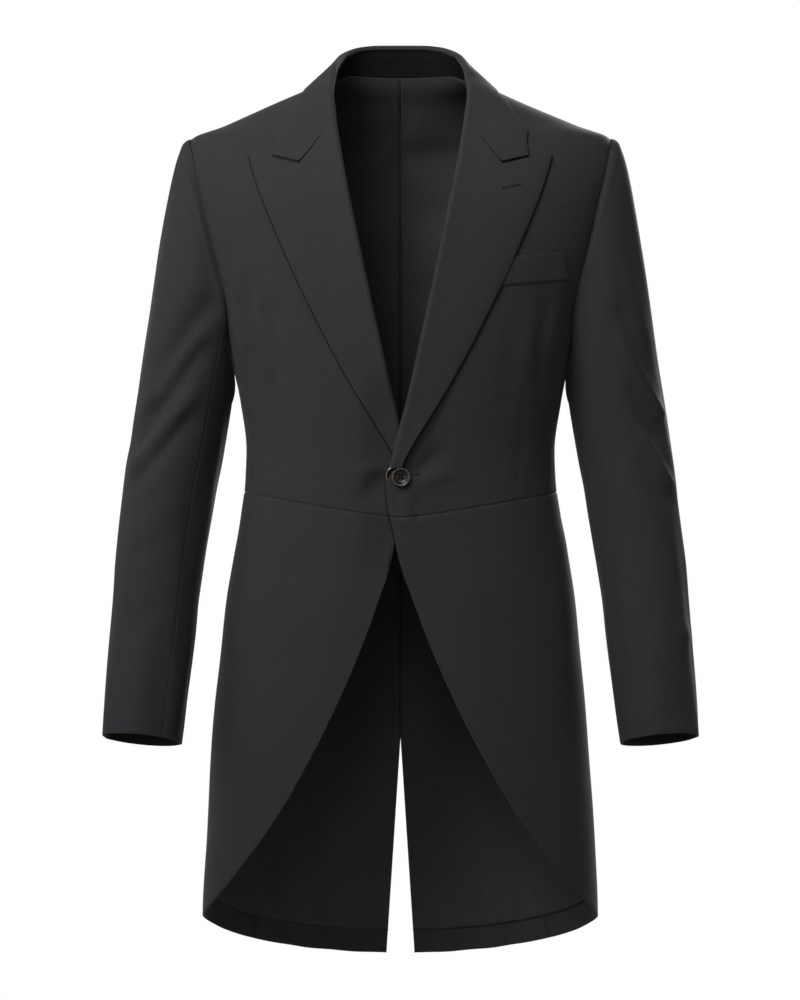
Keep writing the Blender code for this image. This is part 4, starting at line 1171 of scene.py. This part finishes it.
# Folds of each sleeve, seen from the front: from x, z to x, z, half width, height
SLEEVE_FOLDS = {
    1: (
        (0.236, -0.238, 0.276, -0.312, 0.008, -0.0032),
        (0.237, -0.270, 0.286, -0.359, 0.0042, 0.0037),
        (0.248, -0.322, 0.284, -0.388, 0.009, -0.0036),
        (0.263, -0.376, 0.297, -0.436, 0.0042, 0.0028),
        (0.260, -0.408, 0.292, -0.458, 0.009, -0.0026),
        (0.214, -0.150, 0.232, -0.236, 0.009, 0.0012),
        (0.262, -0.520, 0.292, -0.575, 0.012, 0.0014),
        (0.300, -0.582, 0.318, -0.606, 0.009, 0.0016),
        (0.270, -0.600, 0.276, -0.700, 0.014, 0.0016),
    ),
    -1: (
        (0.202, -0.228, 0.274, -0.326, 0.011, -0.0042),
        (0.210, -0.262, 0.280, -0.350, 0.008, 0.0028),
        (0.214, -0.280, 0.294, -0.396, 0.011, -0.0044),
        (0.222, -0.330, 0.296, -0.420, 0.008, 0.0032),
        (0.228, -0.358, 0.294, -0.436, 0.010, -0.0030),
        (0.212, -0.150, 0.226, -0.230, 0.009, 0.0012),
        (0.246, -0.450, 0.296, -0.500, 0.013, 0.0014),
        (0.262, -0.560, 0.300, -0.600, 0.012, -0.0012),
        (0.280, -0.620, 0.284, -0.700, 0.013, 0.0014),
    ),
}
FOLD_GAIN = 1.35
# Behind the arm the folds are those of the other sleeve, this much lower
FOLD_DROP_BEHIND = 0.018
# Each side's folds fade out between these cosines of the turn round the arm
FOLD_FADE = (-0.1, 0.4)
SLEEVE_UNEVEN = 1.4
SLEEVE_SHIFT = 0.7
SLEEVE_WRAP = 0.3

# How the cap leaves the armhole over the arm, under it, and in front, which is mirrored behind: x, y, z
LEAVE_TOP = (0.0185, 0, 0.0015)
LEAVE_UNDER = (-0.0073, 0, -0.028)
LEAVE_FORE = (0.014, -0.007, -0.012)
# How far above the first ring it bends down along the arm, over it, under it and in between
BEND_TOP = 0.178
BEND_UNDER = 0.020
BEND_FORE = 0.090
# Under the arm the bend lies further in
UNDER_IN = (-0.0050, 0, 0)
# Brings the first rows closer together beside the armhole
CAP_CROWD = 1.35
SLEEVE_SINK = 0.4

sleeve_x = curve(SLEEVE, 0, 1)
sleeve_y = curve(SLEEVE, 0, 2)
sleeve_wide = curve(SLEEVE, 0, 3)
sleeve_deep = curve(SLEEVE, 0, 4)


def sleeve_centre(z):
    return np.array([sleeve_x(z), sleeve_y(z), z])


def sleeve_ring(arm_turn, z):
    """Points of the sleeve at these turns round it, and the way that it runs down there."""
    p = np.radians(arm_turn)
    step = 0.004
    here = sleeve_centre(z)
    above = sleeve_centre(z + step)
    below = sleeve_centre(z - step)
    high = above if z + step <= SLEEVE[0][0] else 2 * here - below
    low = below if z - step >= SLEEVE[-1][0] else 2 * here - above
    down = unit(low - high)
    out = unit(np.array([1.0, 0, 0]) - down * down[0])
    front = unit(np.cross(down, out))
    front = front if front[1] < 0 else -front
    wide = (sleeve_wide(z) - CLOTH / 2) * np.sin(p)
    deep = (sleeve_deep(z) - CLOTH / 2) * np.cos(p)
    return here + front * deep[:, None] + out * wide[:, None], down


def folded(points, arm_turn, side):
    """Pushes the folds into a ring of the sleeve, square to its axis."""
    p = np.radians(arm_turn)
    x = points[:, 0]
    z = points[:, 2]
    before = FOLD_GAIN * fold_height(x, z, SLEEVE_FOLDS[side]) * ease(np.cos(p), *FOLD_FADE)
    behind = fold_height(x, z + FOLD_DROP_BEHIND, SLEEVE_FOLDS[-side]) * ease(-np.cos(p), *FOLD_FADE)
    outward = joined(np.sin(p), -np.cos(p), 0)
    painted_shadow = SLEEVE_UNEVEN * uneven(x + SLEEVE_WRAP * np.cos(p), z, SLEEVE_SHIFT * side)
    return points + outward * (before + behind + painted_shadow)[:, None]


def sleeve_grid(arm_turn, turn_from, turn_to, side):
    first = SLEEVE[0][0]
    last = SLEEVE[-1][0]
    start = armhole(arm_turn)
    s = np.sin(np.radians(arm_turn))
    c = np.cos(np.radians(arm_turn))
    beside = ease(-s, 0.2, 0.75) * (CLOTH + 0.3 * SLEEVE_CLEAR)
    base = on_body(start, -CLOTH / 2 + beside, side)
    ring, down = sleeve_ring(arm_turn, first)
    top = np.clip(s, 0, 1)[:, None] ** 1.5
    under = np.clip(-s, 0, 1)[:, None] ** 1.5
    mid = 1 - top - under
    fore = joined(LEAVE_FORE[0], LEAVE_FORE[1] * c, LEAVE_FORE[2])
    leave = top * LEAVE_TOP + under * LEAVE_UNDER + mid * fore
    arrive = -down * (BEND_TOP * top + BEND_UNDER * under + BEND_FORE * mid) + under * UNDER_IN
    rows = []
    for t in shares(CAP_LENGTH, CELL, True, False) ** CAP_CROWD:
        point = (
            (1 - t) ** 3 * base
            + 3 * t * (1 - t) ** 2 * (base + leave)
            + 3 * t * t * (1 - t) * (ring + arrive)
            + t**3 * ring
        )
        rows.append(folded(point, arm_turn, side))
    rows[0] = rows[0] + unit(leave) * SLEEVE_START
    seam_share = (arm_turn - arm_turn[0]) / (arm_turn[-1] - arm_turn[0])
    at_cuff = turn_from + (turn_to - turn_from) * seam_share
    for t in shares(ARM_LENGTH, CELL)[1:]:
        z = first + (last - first) * t
        turned = arm_turn + at_cuff * t
        rows.append(folded(sleeve_ring(turned, z)[0], turned, side))
    return np.stack(rows)


for word, side in SIDES:
    for name, spec in (("sleeve_top_", TOP_SLEEVE), ("sleeve_under_", UNDER_SLEEVE)):
        first_turn, last_turn, turn_from, turn_to, width = spec
        arm_turn = first_turn + (last_turn - first_turn) * shares(width, CELL, True, True)
        points = sleeve_grid(arm_turn, turn_from, turn_to, side)
        normal = grid_normals(points, True)
        points = points - normal * SLEEVE_SINK * sewn(points, (True, True, False, False))[..., None]
        head = bump(path_lengths(points, 0) - HEAD_AT, HEAD_HALF)
        head = head * ease(np.cos(np.radians(arm_turn)), *HEAD_FADE)
        points = points + normal * (HEAD_ROLL * head)[..., None]
        piece = cloth_piece(name + word, points, side, CLOTH, wool, turned=True)


# Lapels
# The facing comes round the roll of each front and lies back on it, pointed at the peak.
# Same wool with canvas inside, so it rolls softly from the button and is pressed thin at the edge.

LAPEL_HEIGHT = 0.0042
LAPEL_CLOTH = 0.0018
LAPEL_LENGTH = 0.400
# Brings the rows closer together towards the gorge seam
LAPEL_CROWD = 0.92
# Gorge seam from the roll to the notch, then the lapel's top to its peak: distance from the middle, height
GORGE = ((0.0694, -0.0312), (0.0854, -0.0568), (0.0976, -0.0743), (0.1092, -0.0880))
NOTCH_END = (0.1385, -0.0805)
PEAK = (0.1639, -0.0770)
COLLAR_POINT = (0.1385, -0.0782)
# How far each edge goes past the gorge seam between its ends
GORGE_LAP = 0.0009
GORGE_ACROSS = np.array([0.82, 0.57])


GORGE_SINK = 0.10
ROLL_RADIUS = (ROLL_HEIGHT + CLOTH) / 2
# Turns round the roll, seen along it, of the columns that make it
ROLL_DEG = (270.0, 250.0, 230.0, 210.0, 190.0, 170.0, 150.0, 130.0, 112.0, 98.0)
# Share of the lapel's width at which its top edge turns from the gorge seam into the notch
NOTCH_SHARE = 0.56
GORGE_COLUMNS = 15
PEAK_COLUMNS = 13
# The low part of the edge lifts off the front and the whole edge is pressed thin, each with its own fade
LAPEL_LIFT = {1: 0.0030, -1: 0.0020}
LIFT_FROM = (-0.300, -0.385)
EDGE_PRESS = 0.0010
ROLL_FADE = 0.018
LIFT_FADE = 0.012
PRESS_FADE = 0.006


def lapped(line, share, corner_share, by):
    """Moves a line along the gorge across it, except at its ends."""
    amount = ease(share, 0, 0.1) * ease(corner_share - share, 0, 0.05)
    return line + GORGE_ACROSS * (by * amount)[:, None]


def along(line, share):
    """The point this share of the way along a line of points."""
    length = path_lengths(line, 0)
    at = share * length[-1]
    return np.stack([np.interp(at, length, column) for column in line.T], axis=-1)


def past_corner(line, share, corner, corner_share):
    """Points along a line of points that has one corner, kept at its share."""
    first = along(line[: corner + 1], np.clip(share / corner_share, 0, 1))
    second = along(line[corner:], np.clip((share - corner_share) / (1 - corner_share), 0, 1))
    return np.where((share <= corner_share)[:, None], first, second)


def lapel_points(side, t, u):
    end = LAPEL_END[side]
    z = end + (GORGE[0][1] - end) * t
    crest = joined(edge_of[side](z), z)
    slope = np.gradient(crest[:, 0], z)
    across = unit(joined(1, -slope))
    inner = crest + across * ROLL_RADIUS
    low_z = end + (PEAK[1] - end) * t
    outer = joined(lapel_edge(low_z), low_z)
    outer[-1] = PEAK
    top = past_corner(np.array([inner[-1], *GORGE[1:], NOTCH_END, PEAK]), u, 3, NOTCH_SHARE)
    top = lapped(top, u, NOTCH_SHARE, GORGE_LAP)
    bottom = inner[0] + (outer[0] - inner[0]) * u[:, None]
    flat = patch(inner, outer, bottom, top, u)
    away = np.linalg.norm(flat - flat[:, :1], axis=-1)
    height = LAPEL_HEIGHT + (ROLL_HEIGHT - LAPEL_HEIGHT) * np.exp(-away / ROLL_FADE)
    to_edge = np.linalg.norm(flat - flat[:, -1:], axis=-1)
    low_part = ease(flat[..., 1], *LIFT_FROM) * np.exp(-to_edge / LIFT_FADE)
    height = height + LAPEL_LIFT[side] * low_part - EDGE_PRESS * np.exp(-to_edge / PRESS_FADE)
    sheet = on_front(flat, height - LAPEL_CLOTH / 2, side)
    radius = ROLL_RADIUS - LAPEL_CLOTH / 2
    columns = []
    for degrees in ROLL_DEG:
        a = math.radians(degrees)
        spot = crest + across * (ROLL_RADIUS + radius * math.cos(a))
        high = ROLL_RADIUS - CLOTH + radius * math.sin(a)
        columns.append(on_front(spot, high, side))
    return np.concatenate([np.stack(columns, axis=1), sheet], axis=1)


def gorge_sunk(points, columns, turned):
    """Sinks the top edge of a collar or lapel into the gorge seam, which these first columns reach."""
    depth = sewn(points, (False, False, False, True))
    depth[:, columns:] = 0
    return points - grid_normals(points, turned) * GORGE_SINK * depth[..., None]


for word, side in SIDES:
    t = shares(LAPEL_LENGTH, CELL, False, True) ** LAPEL_CROWD
    near = np.linspace(0, NOTCH_SHARE, GORGE_COLUMNS)
    far = np.linspace(NOTCH_SHARE, 1, PEAK_COLUMNS)[1:]
    points = lapel_points(side, t, np.concatenate([near, far]))
    points = gorge_sunk(points, len(ROLL_DEG) + GORGE_COLUMNS, False)
    piece = cloth_piece("lapel_" + word, points, side, LAPEL_CLOTH, wool)
    if side > 0:
        buttonhole("buttonhole_lapel", LAPEL_HOLE, LAPEL_HEIGHT + 0.0002, "lapel_left")


# Collar
# The leaf falls outside from the fold round the neck, and its ends run down to the gorge seams.
# The stand rises inside from the neck seam, quilted to its canvas by rows of stitches.

# From the middle of the back to the gorge: fold x, y, z, then the outer edge as turn, height and lift
COLLAR = (
    (0.0000, 0.0820, 0.0620, 180.0, 0.0190, 0.0058),
    (0.0235, 0.0800, 0.0617, 157.0, 0.0180, 0.0058),
    (0.0412, 0.0720, 0.0590, 138.0, 0.0150, 0.0060),
    (0.0540, 0.0560, 0.0530, 122.0, 0.0105, 0.0058),
    (0.0622, 0.0360, 0.0455, 107.0, 0.0070, 0.0042),
    (0.0664, 0.0150, 0.0370, 93.0, 0.0045, 0.0026),
    (0.0692, -0.0050, 0.0280, 78.0, 0.0015, 0.0026),
    (0.0708, -0.0210, 0.0160, 63.0, -0.0040, 0.0030),
    (0.0722, -0.0350, 0.0030, 50.0, -0.0170, 0.0038),
    (0.0725, -0.0490, -0.0085, 38.0, -0.0400, 0.0040),
    (0.0712, -0.0600, -0.0190, 32.5, -0.0620, 0.0040),
    (0.0694, -0.0705, -0.0312, 32.5, -0.0785, 0.0040),
)
COLLAR_HEIGHT = 0.0040
# Neck seam of the stand, from the middle of the back to where it runs out: x, y, z
NECK_SEAM = (
    (0.0000, 0.0770, 0.0256),
    (0.0250, 0.0735, 0.0256),
    (0.0430, 0.0655, 0.0250),
    (0.0570, 0.0535, 0.0238),
    (0.0680, 0.0350, 0.0206),
    (0.0738, 0.0150, 0.0165),
    (0.0762, -0.0020, 0.0122),
    (0.0766, -0.0185, 0.0055),
    (0.0768, -0.0330, -0.0010),
)
LEAF_ROWS = 64
LEAF_NOTCH = 0.70
GORGE_LEAF_COLUMNS = 12
POINT_LEAF_COLUMNS = 6
# Place in the table up to which the rows are even, and the length of its last step
LEAF_EVEN_TO = 10.6
LAST_STEP = 0.0145
# Between these places in the table the collar comes from round the neck to lie on the chest
ONTO_CHEST = (6, 10)
# How far the leaf stands out in its middle, and for each metre of width: round the neck, and more in front
LEAF_FULL = (0.0004, 0.015)
FRONT_FULL = (0.0008, 0.035)
LEAF_PRESS_SHARE = 0.12
ROLL_BACK_DEG = (200.0, 180.0, 160.0, 142.0, 124.0, 107.0, 90.0, 75.0)
ROLL_FRONT_DEG = (270.0, 248.0, 225.0, 202.0, 180.0, 157.0, 135.0, 112.0)
ROLL_LAST_DEG = (60.0, 90.0)


def leaf_points(index, leaf_shares):
    table = at_index(np.array(COLLAR), index)
    fold = table[:, :3]
    tangent = unit(np.gradient(fold, index, axis=0))
    tangent[0] = (1.0, 0.0, 0.0)
    outward = unit(joined(-tangent[:, 1], tangent[:, 0], 0))
    rise = unit(np.cross(tangent, outward))
    edge = on_body(table[:, 3:5], table[:, 5] - LAPEL_CLOTH / 2, 1)
    radius = ROLL_RADIUS - LAPEL_CLOTH / 2
    level = ROLL_RADIUS - CLOTH
    slope = slope_of(edge_of[1], fold[:, 2], 0.002)
    across = unit(joined(1, -slope))
    lower = ease(index, *ONTO_CHEST)[:, None]

    def rolled(back_deg, front_deg):
        a = np.radians(back_deg + (front_deg - back_deg) * lower)
        out = ROLL_RADIUS + radius * np.cos(a)
        round_neck = fold + outward * out + rise * (radius * np.sin(a) - radius * (1 - lower))
        spot = fold[:, [0, 2]] + across * out
        on_chest = on_front(spot, level + radius * np.sin(a[:, 0]))
        return round_neck + (on_chest - round_neck) * lower

    columns = [rolled(*pair) for pair in zip(ROLL_BACK_DEG, ROLL_FRONT_DEG)]
    start = rolled(*ROLL_LAST_DEG)
    length = np.linalg.norm(edge - start, axis=-1, keepdims=True)
    side_on = unit(np.cross(tangent, unit(edge - start)))
    side_on = np.where((side_on * outward).sum(-1, keepdims=True) < 0, -side_on, side_on)
    corner = np.array([start[-1, [0, 2]], *GORGE[1:], COLLAR_POINT])
    gorge = past_corner(corner, leaf_shares, 3, LEAF_NOTCH)
    gorge = lapped(gorge, leaf_shares, LEAF_NOTCH, -GORGE_LAP)
    straight = corner[0] + (corner[-1] - corner[0]) * leaf_shares[:, None]
    for share, bent, unbent in zip(leaf_shares, gorge, straight):
        full = LEAF_FULL[0] + LEAF_FULL[1] * length + lower * (FRONT_FULL[0] + FRONT_FULL[1] * length)
        lift = 4 * share * (1 - share) * full
        round_neck = start + (edge - start) * share + side_on * lift
        spot = round_neck[:, [0, 2]] + (bent - unbent) * lower**2
        away = length[:, 0] * share
        height = COLLAR_HEIGHT + (ROLL_HEIGHT - COLLAR_HEIGHT) * np.exp(-away / ROLL_FADE)
        height = height - EDGE_PRESS * math.exp(-(1 - share) / LEAF_PRESS_SHARE)
        on_chest = on_front(spot, height - LAPEL_CLOTH / 2)
        columns.append(round_neck + (on_chest - round_neck) * lower)
    return np.stack(columns, axis=1)


def both_halves(half):
    half[0, :, 0] = 0.0
    return np.concatenate([half[:0:-1] * (-1, 1, 1), half])


to_gorge = len(COLLAR) - 1 - np.array(AT_SEAM)[::-1] / LAST_STEP
index = np.concatenate([np.linspace(0, LEAF_EVEN_TO, LEAF_ROWS), to_gorge])
near = np.linspace(0, LEAF_NOTCH, GORGE_LEAF_COLUMNS)
far = np.linspace(LEAF_NOTCH, 1, POINT_LEAF_COLUMNS)[1:]
leaf = leaf_points(index, np.concatenate([near, far]))
points = both_halves(gorge_sunk(leaf, len(ROLL_BACK_DEG) + GORGE_LEAF_COLUMNS, True))
piece = cloth_piece("collar_leaf", points, 1, LAPEL_CLOTH, wool, turned=True)

# The stand's inside, matt and close, is given a near-black colour: painted shade, standing in for the dark
# inside of the collar.
stand_shade_cloth = satin_weave("stand_cloth_painted_shade", "#060606", 0.90, 0.02)
STAND_HEIGHT = 0.036
STAND_CELL = 0.0012
STAND_COLUMNS = 56
# Points from the neck seam up to the roll
UPRIGHT = 12
# Heights of the two rows of quilting, how they sink in, and the points at each end that they leave out
STAND_ROWS = (0.0489, 0.0444)
STITCH_HALF = 0.0010
STITCH_DEPTH = 0.0007
QUILTING_GAUGE = (0.0036, 0.0030, 0.0006)
QUILTING_ENDS = slice(14, -14)
# Behind the neck the stand's near-black cloth goes on over the fold, painting shade on the roll: it stops
# between these places, and lies this high past the fold, which comes between these lengths up the cloth
STAND_FOLDS_TO = (2.2, 4.4)
STAND_OVER = 0.0015
FOLD_AT = (0.023, 0.028)

index = np.linspace(0, len(NECK_SEAM) - 1, STAND_COLUMNS)
low = at_index(np.array(NECK_SEAM), index)
roll = leaf_points(index, np.array((0.0, 1.0)))[:, : len(ROLL_BACK_DEG) - 1]
t = shares(STAND_HEIGHT, STAND_CELL, True, False)
over = 1 - ease(index, *STAND_FOLDS_TO)
half = []
for foot, turned_over, amount in zip(low, roll, over):
    upright = foot + (turned_over[0] - foot) * np.linspace(0, 1, UPRIGHT)[:, None]
    path = np.concatenate([upright, turned_over[1:]])
    length = path_lengths(path, 0)
    to_roll = length[UPRIGHT - 1]
    half.append(along(path, t * (to_roll + amount * (length[-1] - to_roll)) / length[-1]))
half = np.stack(half)
past_fold = ease(path_lengths(half, 1), *FOLD_AT) * over[:, None]
groove = sum(bump(half[..., 2] - height, STITCH_HALF) for height in STAND_ROWS)
groove = groove * over[:, None] * (1 - past_fold)
half = half - grid_normals(half, True) * (STAND_OVER * past_fold - STITCH_DEPTH * groove)[..., None]
points = both_halves(half)
# Its near-black colour is painted shade
piece = cloth_piece("collar_stand", points, 1, CLOTH, stand_shade_cloth, turned=True)
inward = -grid_normals(points, True)
middle = len(points) // 2
rows = []
aims = []
for height in STAND_ROWS:
    at = int(np.argmin(np.abs(points[middle, :, 2] - height)))
    rows.append((points[:, at] + inward[:, at] * (CLOTH / 2))[QUILTING_ENDS])
    aims.append(unit(np.gradient(rows[-1], axis=0)))
quilting = stitches("quilting_collar_stand", rows, aims, QUILTING_GAUGE, "collar_stand")


# Breast welt
# One slanting strip on the wearer's left front, over the mouth of the chest pocket.
# Folded wool, sewn along its foot and down both ends.

# Its corners, seen from the front, round from the low inner one: x, z
WELT = ((0.0900, -0.2225), (0.1827, -0.2120), (0.1785, -0.1822), (0.0860, -0.1925))
WELT_CLOTH = 0.0012
WELT_CLEAR = 0.0004
WELT_SINK = 0.6
WELT_COLUMNS = 34
WELT_HEIGHT = 0.030
WELT_CELL = 0.0030

corners = np.array(WELT)
u = np.linspace(0, 1, WELT_COLUMNS)[:, None]
low = corners[0] + (corners[1] - corners[0]) * u
high = corners[3] + (corners[2] - corners[3]) * u
flat = low + (high - low) * shares(WELT_HEIGHT, WELT_CELL, True, False)[:, None, None]
points = on_front(flat, WELT_CLEAR + WELT_CLOTH / 2)
sink = WELT_SINK * sewn(points, (True, True, True, False))
points = points - grid_normals(points, False) * sink[..., None]
piece = cloth_piece("breast_welt", points, 1, WELT_CLOTH, wool)


# Buttons
# The front button on the edge of the left front, and the link button behind it, which shows at its side.
# Turned from dark horn and polished, with a raised rim and a dished middle. The front one has four holes.

# x, z, radius, thickness
FRONT_BUTTON = (0.0005, -0.4254, 0.0103, 0.0040)
LINK_BUTTON = (-0.0062, -0.4240, 0.0103, 0.0026)
FRONT_BUTTON_LIFT = 0.0006
LINK_BUTTON_LIFT = 0.0018
BUTTON_SIDES = 72
BUTTON_HOLE = 0.0010
BUTTON_HOLE_AT = 0.0017
HOLES = ((1, 1), (1, -1), (-1, 1), (-1, -1))
# The drill goes through the front button along Y, with its middle here
DRILL_Y = -0.13
DRILL_LENGTH = 0.03
# Profile from the dished middle to the rim and round to the back: share of the radius, share of the thickness
BUTTON_PROFILE = (
    (0.30, 0.40),
    (0.52, 0.42),
    (0.62, 0.50),
    (0.69, 0.70),
    (0.75, 0.88),
    (0.82, 0.98),
    (0.88, 1.00),
    (0.94, 0.94),
    (0.985, 0.80),
    (1.00, 0.62),
    (0.99, 0.42),
    (0.94, 0.20),
    (0.86, 0.02),
)
# Between these shares of the radius the horn is the thin honey-coloured rim
RIM_SHARES = (0.80, 0.93)
# Streaks of the horn to a metre: across the button, through it and up it
HORN_STREAKS = (260, 260, 900)


def polished_horn(name, colour, streak, roughness, shine):
    made, tree, shader = new_material(name, {"Roughness": roughness, "Specular IOR Level": shine})
    place = node(tree, "ShaderNodeTexCoord").outputs["Object"]
    stretch = node(tree, "ShaderNodeMapping", {"Vector": place, "Scale": HORN_STREAKS}).outputs[0]
    grain = node(tree, "ShaderNodeTexNoise", {"Vector": stretch, "Scale": 1.0, "Detail": 3.0}).outputs[0]
    colours = {"Factor": grain, 6: linear(colour), 7: linear(streak)}
    streaked = node(tree, "ShaderNodeMix", colours, data_type="RGBA").outputs[2]
    tree.links.new(streaked, shader.inputs["Base Color"])
    return made


# Buffalo horn, sawn across and polished on a wheel: near black with brown streaks, and honey-coloured
# where the rim is turned thin.
horn = polished_horn("dark_polished_horn", "#070605", "#14100c", 0.26, 0.14)
rim_horn = polished_horn("honey_horn_rim", "#120e08", "#34291a", 0.12, 0.50)


def button(name, spec, lift, side):
    x, z, radius, thick = spec
    middle = on_front(np.array([side * x, z]), lift, side) * (side, 1, 1)
    turn = np.linspace(0, 2 * math.pi, BUTTON_SIDES, endpoint=False)
    points = []
    faces = []
    slots = []
    for share, high in BUTTON_PROFILE:
        r = share * radius
        circle = joined(r * np.cos(turn), -high * thick, r * np.sin(turn))
        points.extend(circle + middle)
    for ring, (share, _) in enumerate(BUTTON_PROFILE[:-1]):
        a = ring * BUTTON_SIDES
        for k in range(BUTTON_SIDES):
            n = (k + 1) % BUTTON_SIDES
            faces.append((a + k, a + BUTTON_SIDES + k, a + BUTTON_SIDES + n, a + n))
            slots.append(int(RIM_SHARES[0] < share < RIM_SHARES[1]))
    faces.append(tuple(range(BUTTON_SIDES)))
    faces.append(tuple(range(a + BUTTON_SIDES, a + 2 * BUTTON_SIDES))[::-1])
    mesh = bpy.data.meshes.new(name)
    mesh.from_pydata([tuple(p) for p in points], [], faces)
    mesh.materials.append(horn)
    mesh.materials.append(rim_horn)
    mesh.polygons.foreach_set("material_index", slots + [0, 0])
    mesh.polygons.foreach_set("use_smooth", [True] * len(faces))
    return add_object(name + "_horn", mesh), middle


def drill(made, x, z, radius):
    """Drills a hole through the button, along Y."""
    at = (x, DRILL_Y, z)
    bpy.ops.mesh.primitive_cylinder_add(vertices=24, radius=radius, depth=DRILL_LENGTH, location=at)
    drill_bit = bpy.context.object
    drill_bit.rotation_euler = (math.radians(90), 0, 0)
    cut = made.modifiers.new("hole", "BOOLEAN")
    cut.solver = "EXACT"
    cut.object = drill_bit
    keep_result(made, cut)
    bpy.data.objects.remove(drill_bit, do_unlink=True)


front_button, middle = button("button_front", FRONT_BUTTON, FRONT_BUTTON_LIFT, 1)
link_button = button("button_link", LINK_BUTTON, LINK_BUTTON_LIFT, -1)[0]
for across, up in HOLES:
    drill(front_button, middle[0] + across * BUTTON_HOLE_AT, middle[2] + up * BUTTON_HOLE_AT, BUTTON_HOLE)
dresses(front_button, "button_front")
dresses(link_button, "button_link")


# Studio
# A plain white room with a greyer ceiling and a pale floor. One lamp hangs up on the viewer's left and a
# weaker one in front, and one more stands at the side and one behind.

# The white walls fade out between these heights of a line of sight 1 m long, upwards and downwards. Beyond
# them the room is greyer, and slightly less so towards its bright side.
WALL_TOP = (0.15, 0.22)
CEILING = 0.45
CEILING_BRIGHT = 0.50
BRIGHT_SIDE = (0.92, -0.38, 0.08)
BRIGHT_FROM = (-0.2, 0.9)
FLOOR_Z = -1.45
FLOOR_RADIUS = 2.6
FLOOR_SIDES = 64
CAMERA_AT = (0.0, -4.0, -0.45)
CAMERA_LENS = 130.32
CAMERA_SHIFT = -0.0005

# White background paper, matt.
paper = new_material("white_paper", {"Base Color": linear("#bcbcba"), "Roughness": 0.9})[0]
mesh = bpy.data.meshes.new("floor")
ring = [2 * math.pi * k / FLOOR_SIDES for k in range(FLOOR_SIDES)]
circle = [(FLOOR_RADIUS * math.cos(a), FLOOR_RADIUS * math.sin(a), FLOOR_Z) for a in ring]
mesh.from_pydata(circle, [], [tuple(range(FLOOR_SIDES))])
mesh.materials.append(paper)
floor = add_object("floor", mesh)
floor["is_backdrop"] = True

world = bpy.data.worlds.new("studio")
bpy.context.scene.world = world
world.use_nodes = True
tree = world.node_tree
way = node(tree, "ShaderNodeTexCoord").outputs["Generated"]
upright = node(tree, "ShaderNodeSeparateXYZ", {0: way}).outputs["Z"]
level = node(tree, "ShaderNodeMath", {0: upright}, operation="ABSOLUTE").outputs[0]
wall = {"Value": level, "From Min": WALL_TOP[0], "From Max": WALL_TOP[1], "To Min": 0.0, "To Max": 1.0}
above = node(tree, "ShaderNodeMapRange", wall, interpolation_type="SMOOTHSTEP").outputs[0]
facing = node(tree, "ShaderNodeVectorMath", {0: way, 1: BRIGHT_SIDE}, operation="DOT_PRODUCT")
ceiling = {"Value": facing.outputs["Value"], "From Min": BRIGHT_FROM[0], "From Max": BRIGHT_FROM[1]}
ceiling.update({"To Min": CEILING, "To Max": CEILING_BRIGHT})
shade = node(tree, "ShaderNodeMapRange", ceiling, interpolation_type="SMOOTHSTEP").outputs[0]
light = {"Factor": above, "A": 1.0, "B": shade}
strength = node(tree, "ShaderNodeMix", light, data_type="FLOAT")
back = tree.nodes["Background"]
back.inputs["Color"].default_value = (1, 1, 1, 1)
tree.links.new(strength.outputs[0], back.inputs["Strength"])


def lamp(name, at, size, power, aim_z, spread):
    """A square or upright lamp of this power in watts that faces a height in the middle of the coat."""
    data = bpy.data.lights.new(name, "AREA")
    data.shape = "RECTANGLE"
    data.size, data.size_y = size
    data.energy = power
    data.spread = math.radians(spread)
    made = add_object(name, data)
    made.location = at
    aim = Vector((0, 0, aim_z)) - made.location
    made.rotation_euler = aim.to_track_quat("-Z", "Y").to_euler()


lamp("key", (-1.2, -1.9, 1.7), (1.5, 1.5), 27.5, 0.12, 49.0)
lamp("fill", (-0.3, -3.6, 0.9), (0.8, 0.8), 4.5, -0.60, 60.0)
lamp("side", (-3.0, -0.4, 0.4), (1.0, 1.8), 55.0, -0.45, 180.0)
lamp("back", (1.4, 2.8, 1.0), (1.4, 1.4), 190.0, -0.45, 180.0)

# The camera stands four metres in front, level with the waist
data = bpy.data.cameras.new("camera")
data.lens = CAMERA_LENS
data.shift_x = CAMERA_SHIFT
camera = add_object("camera", data)
camera.location = CAMERA_AT
camera.rotation_euler = (math.radians(90), 0, 0)
bpy.context.scene.camera = camera
bpy.context.scene.view_settings.view_transform = "Standard"

low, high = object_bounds()
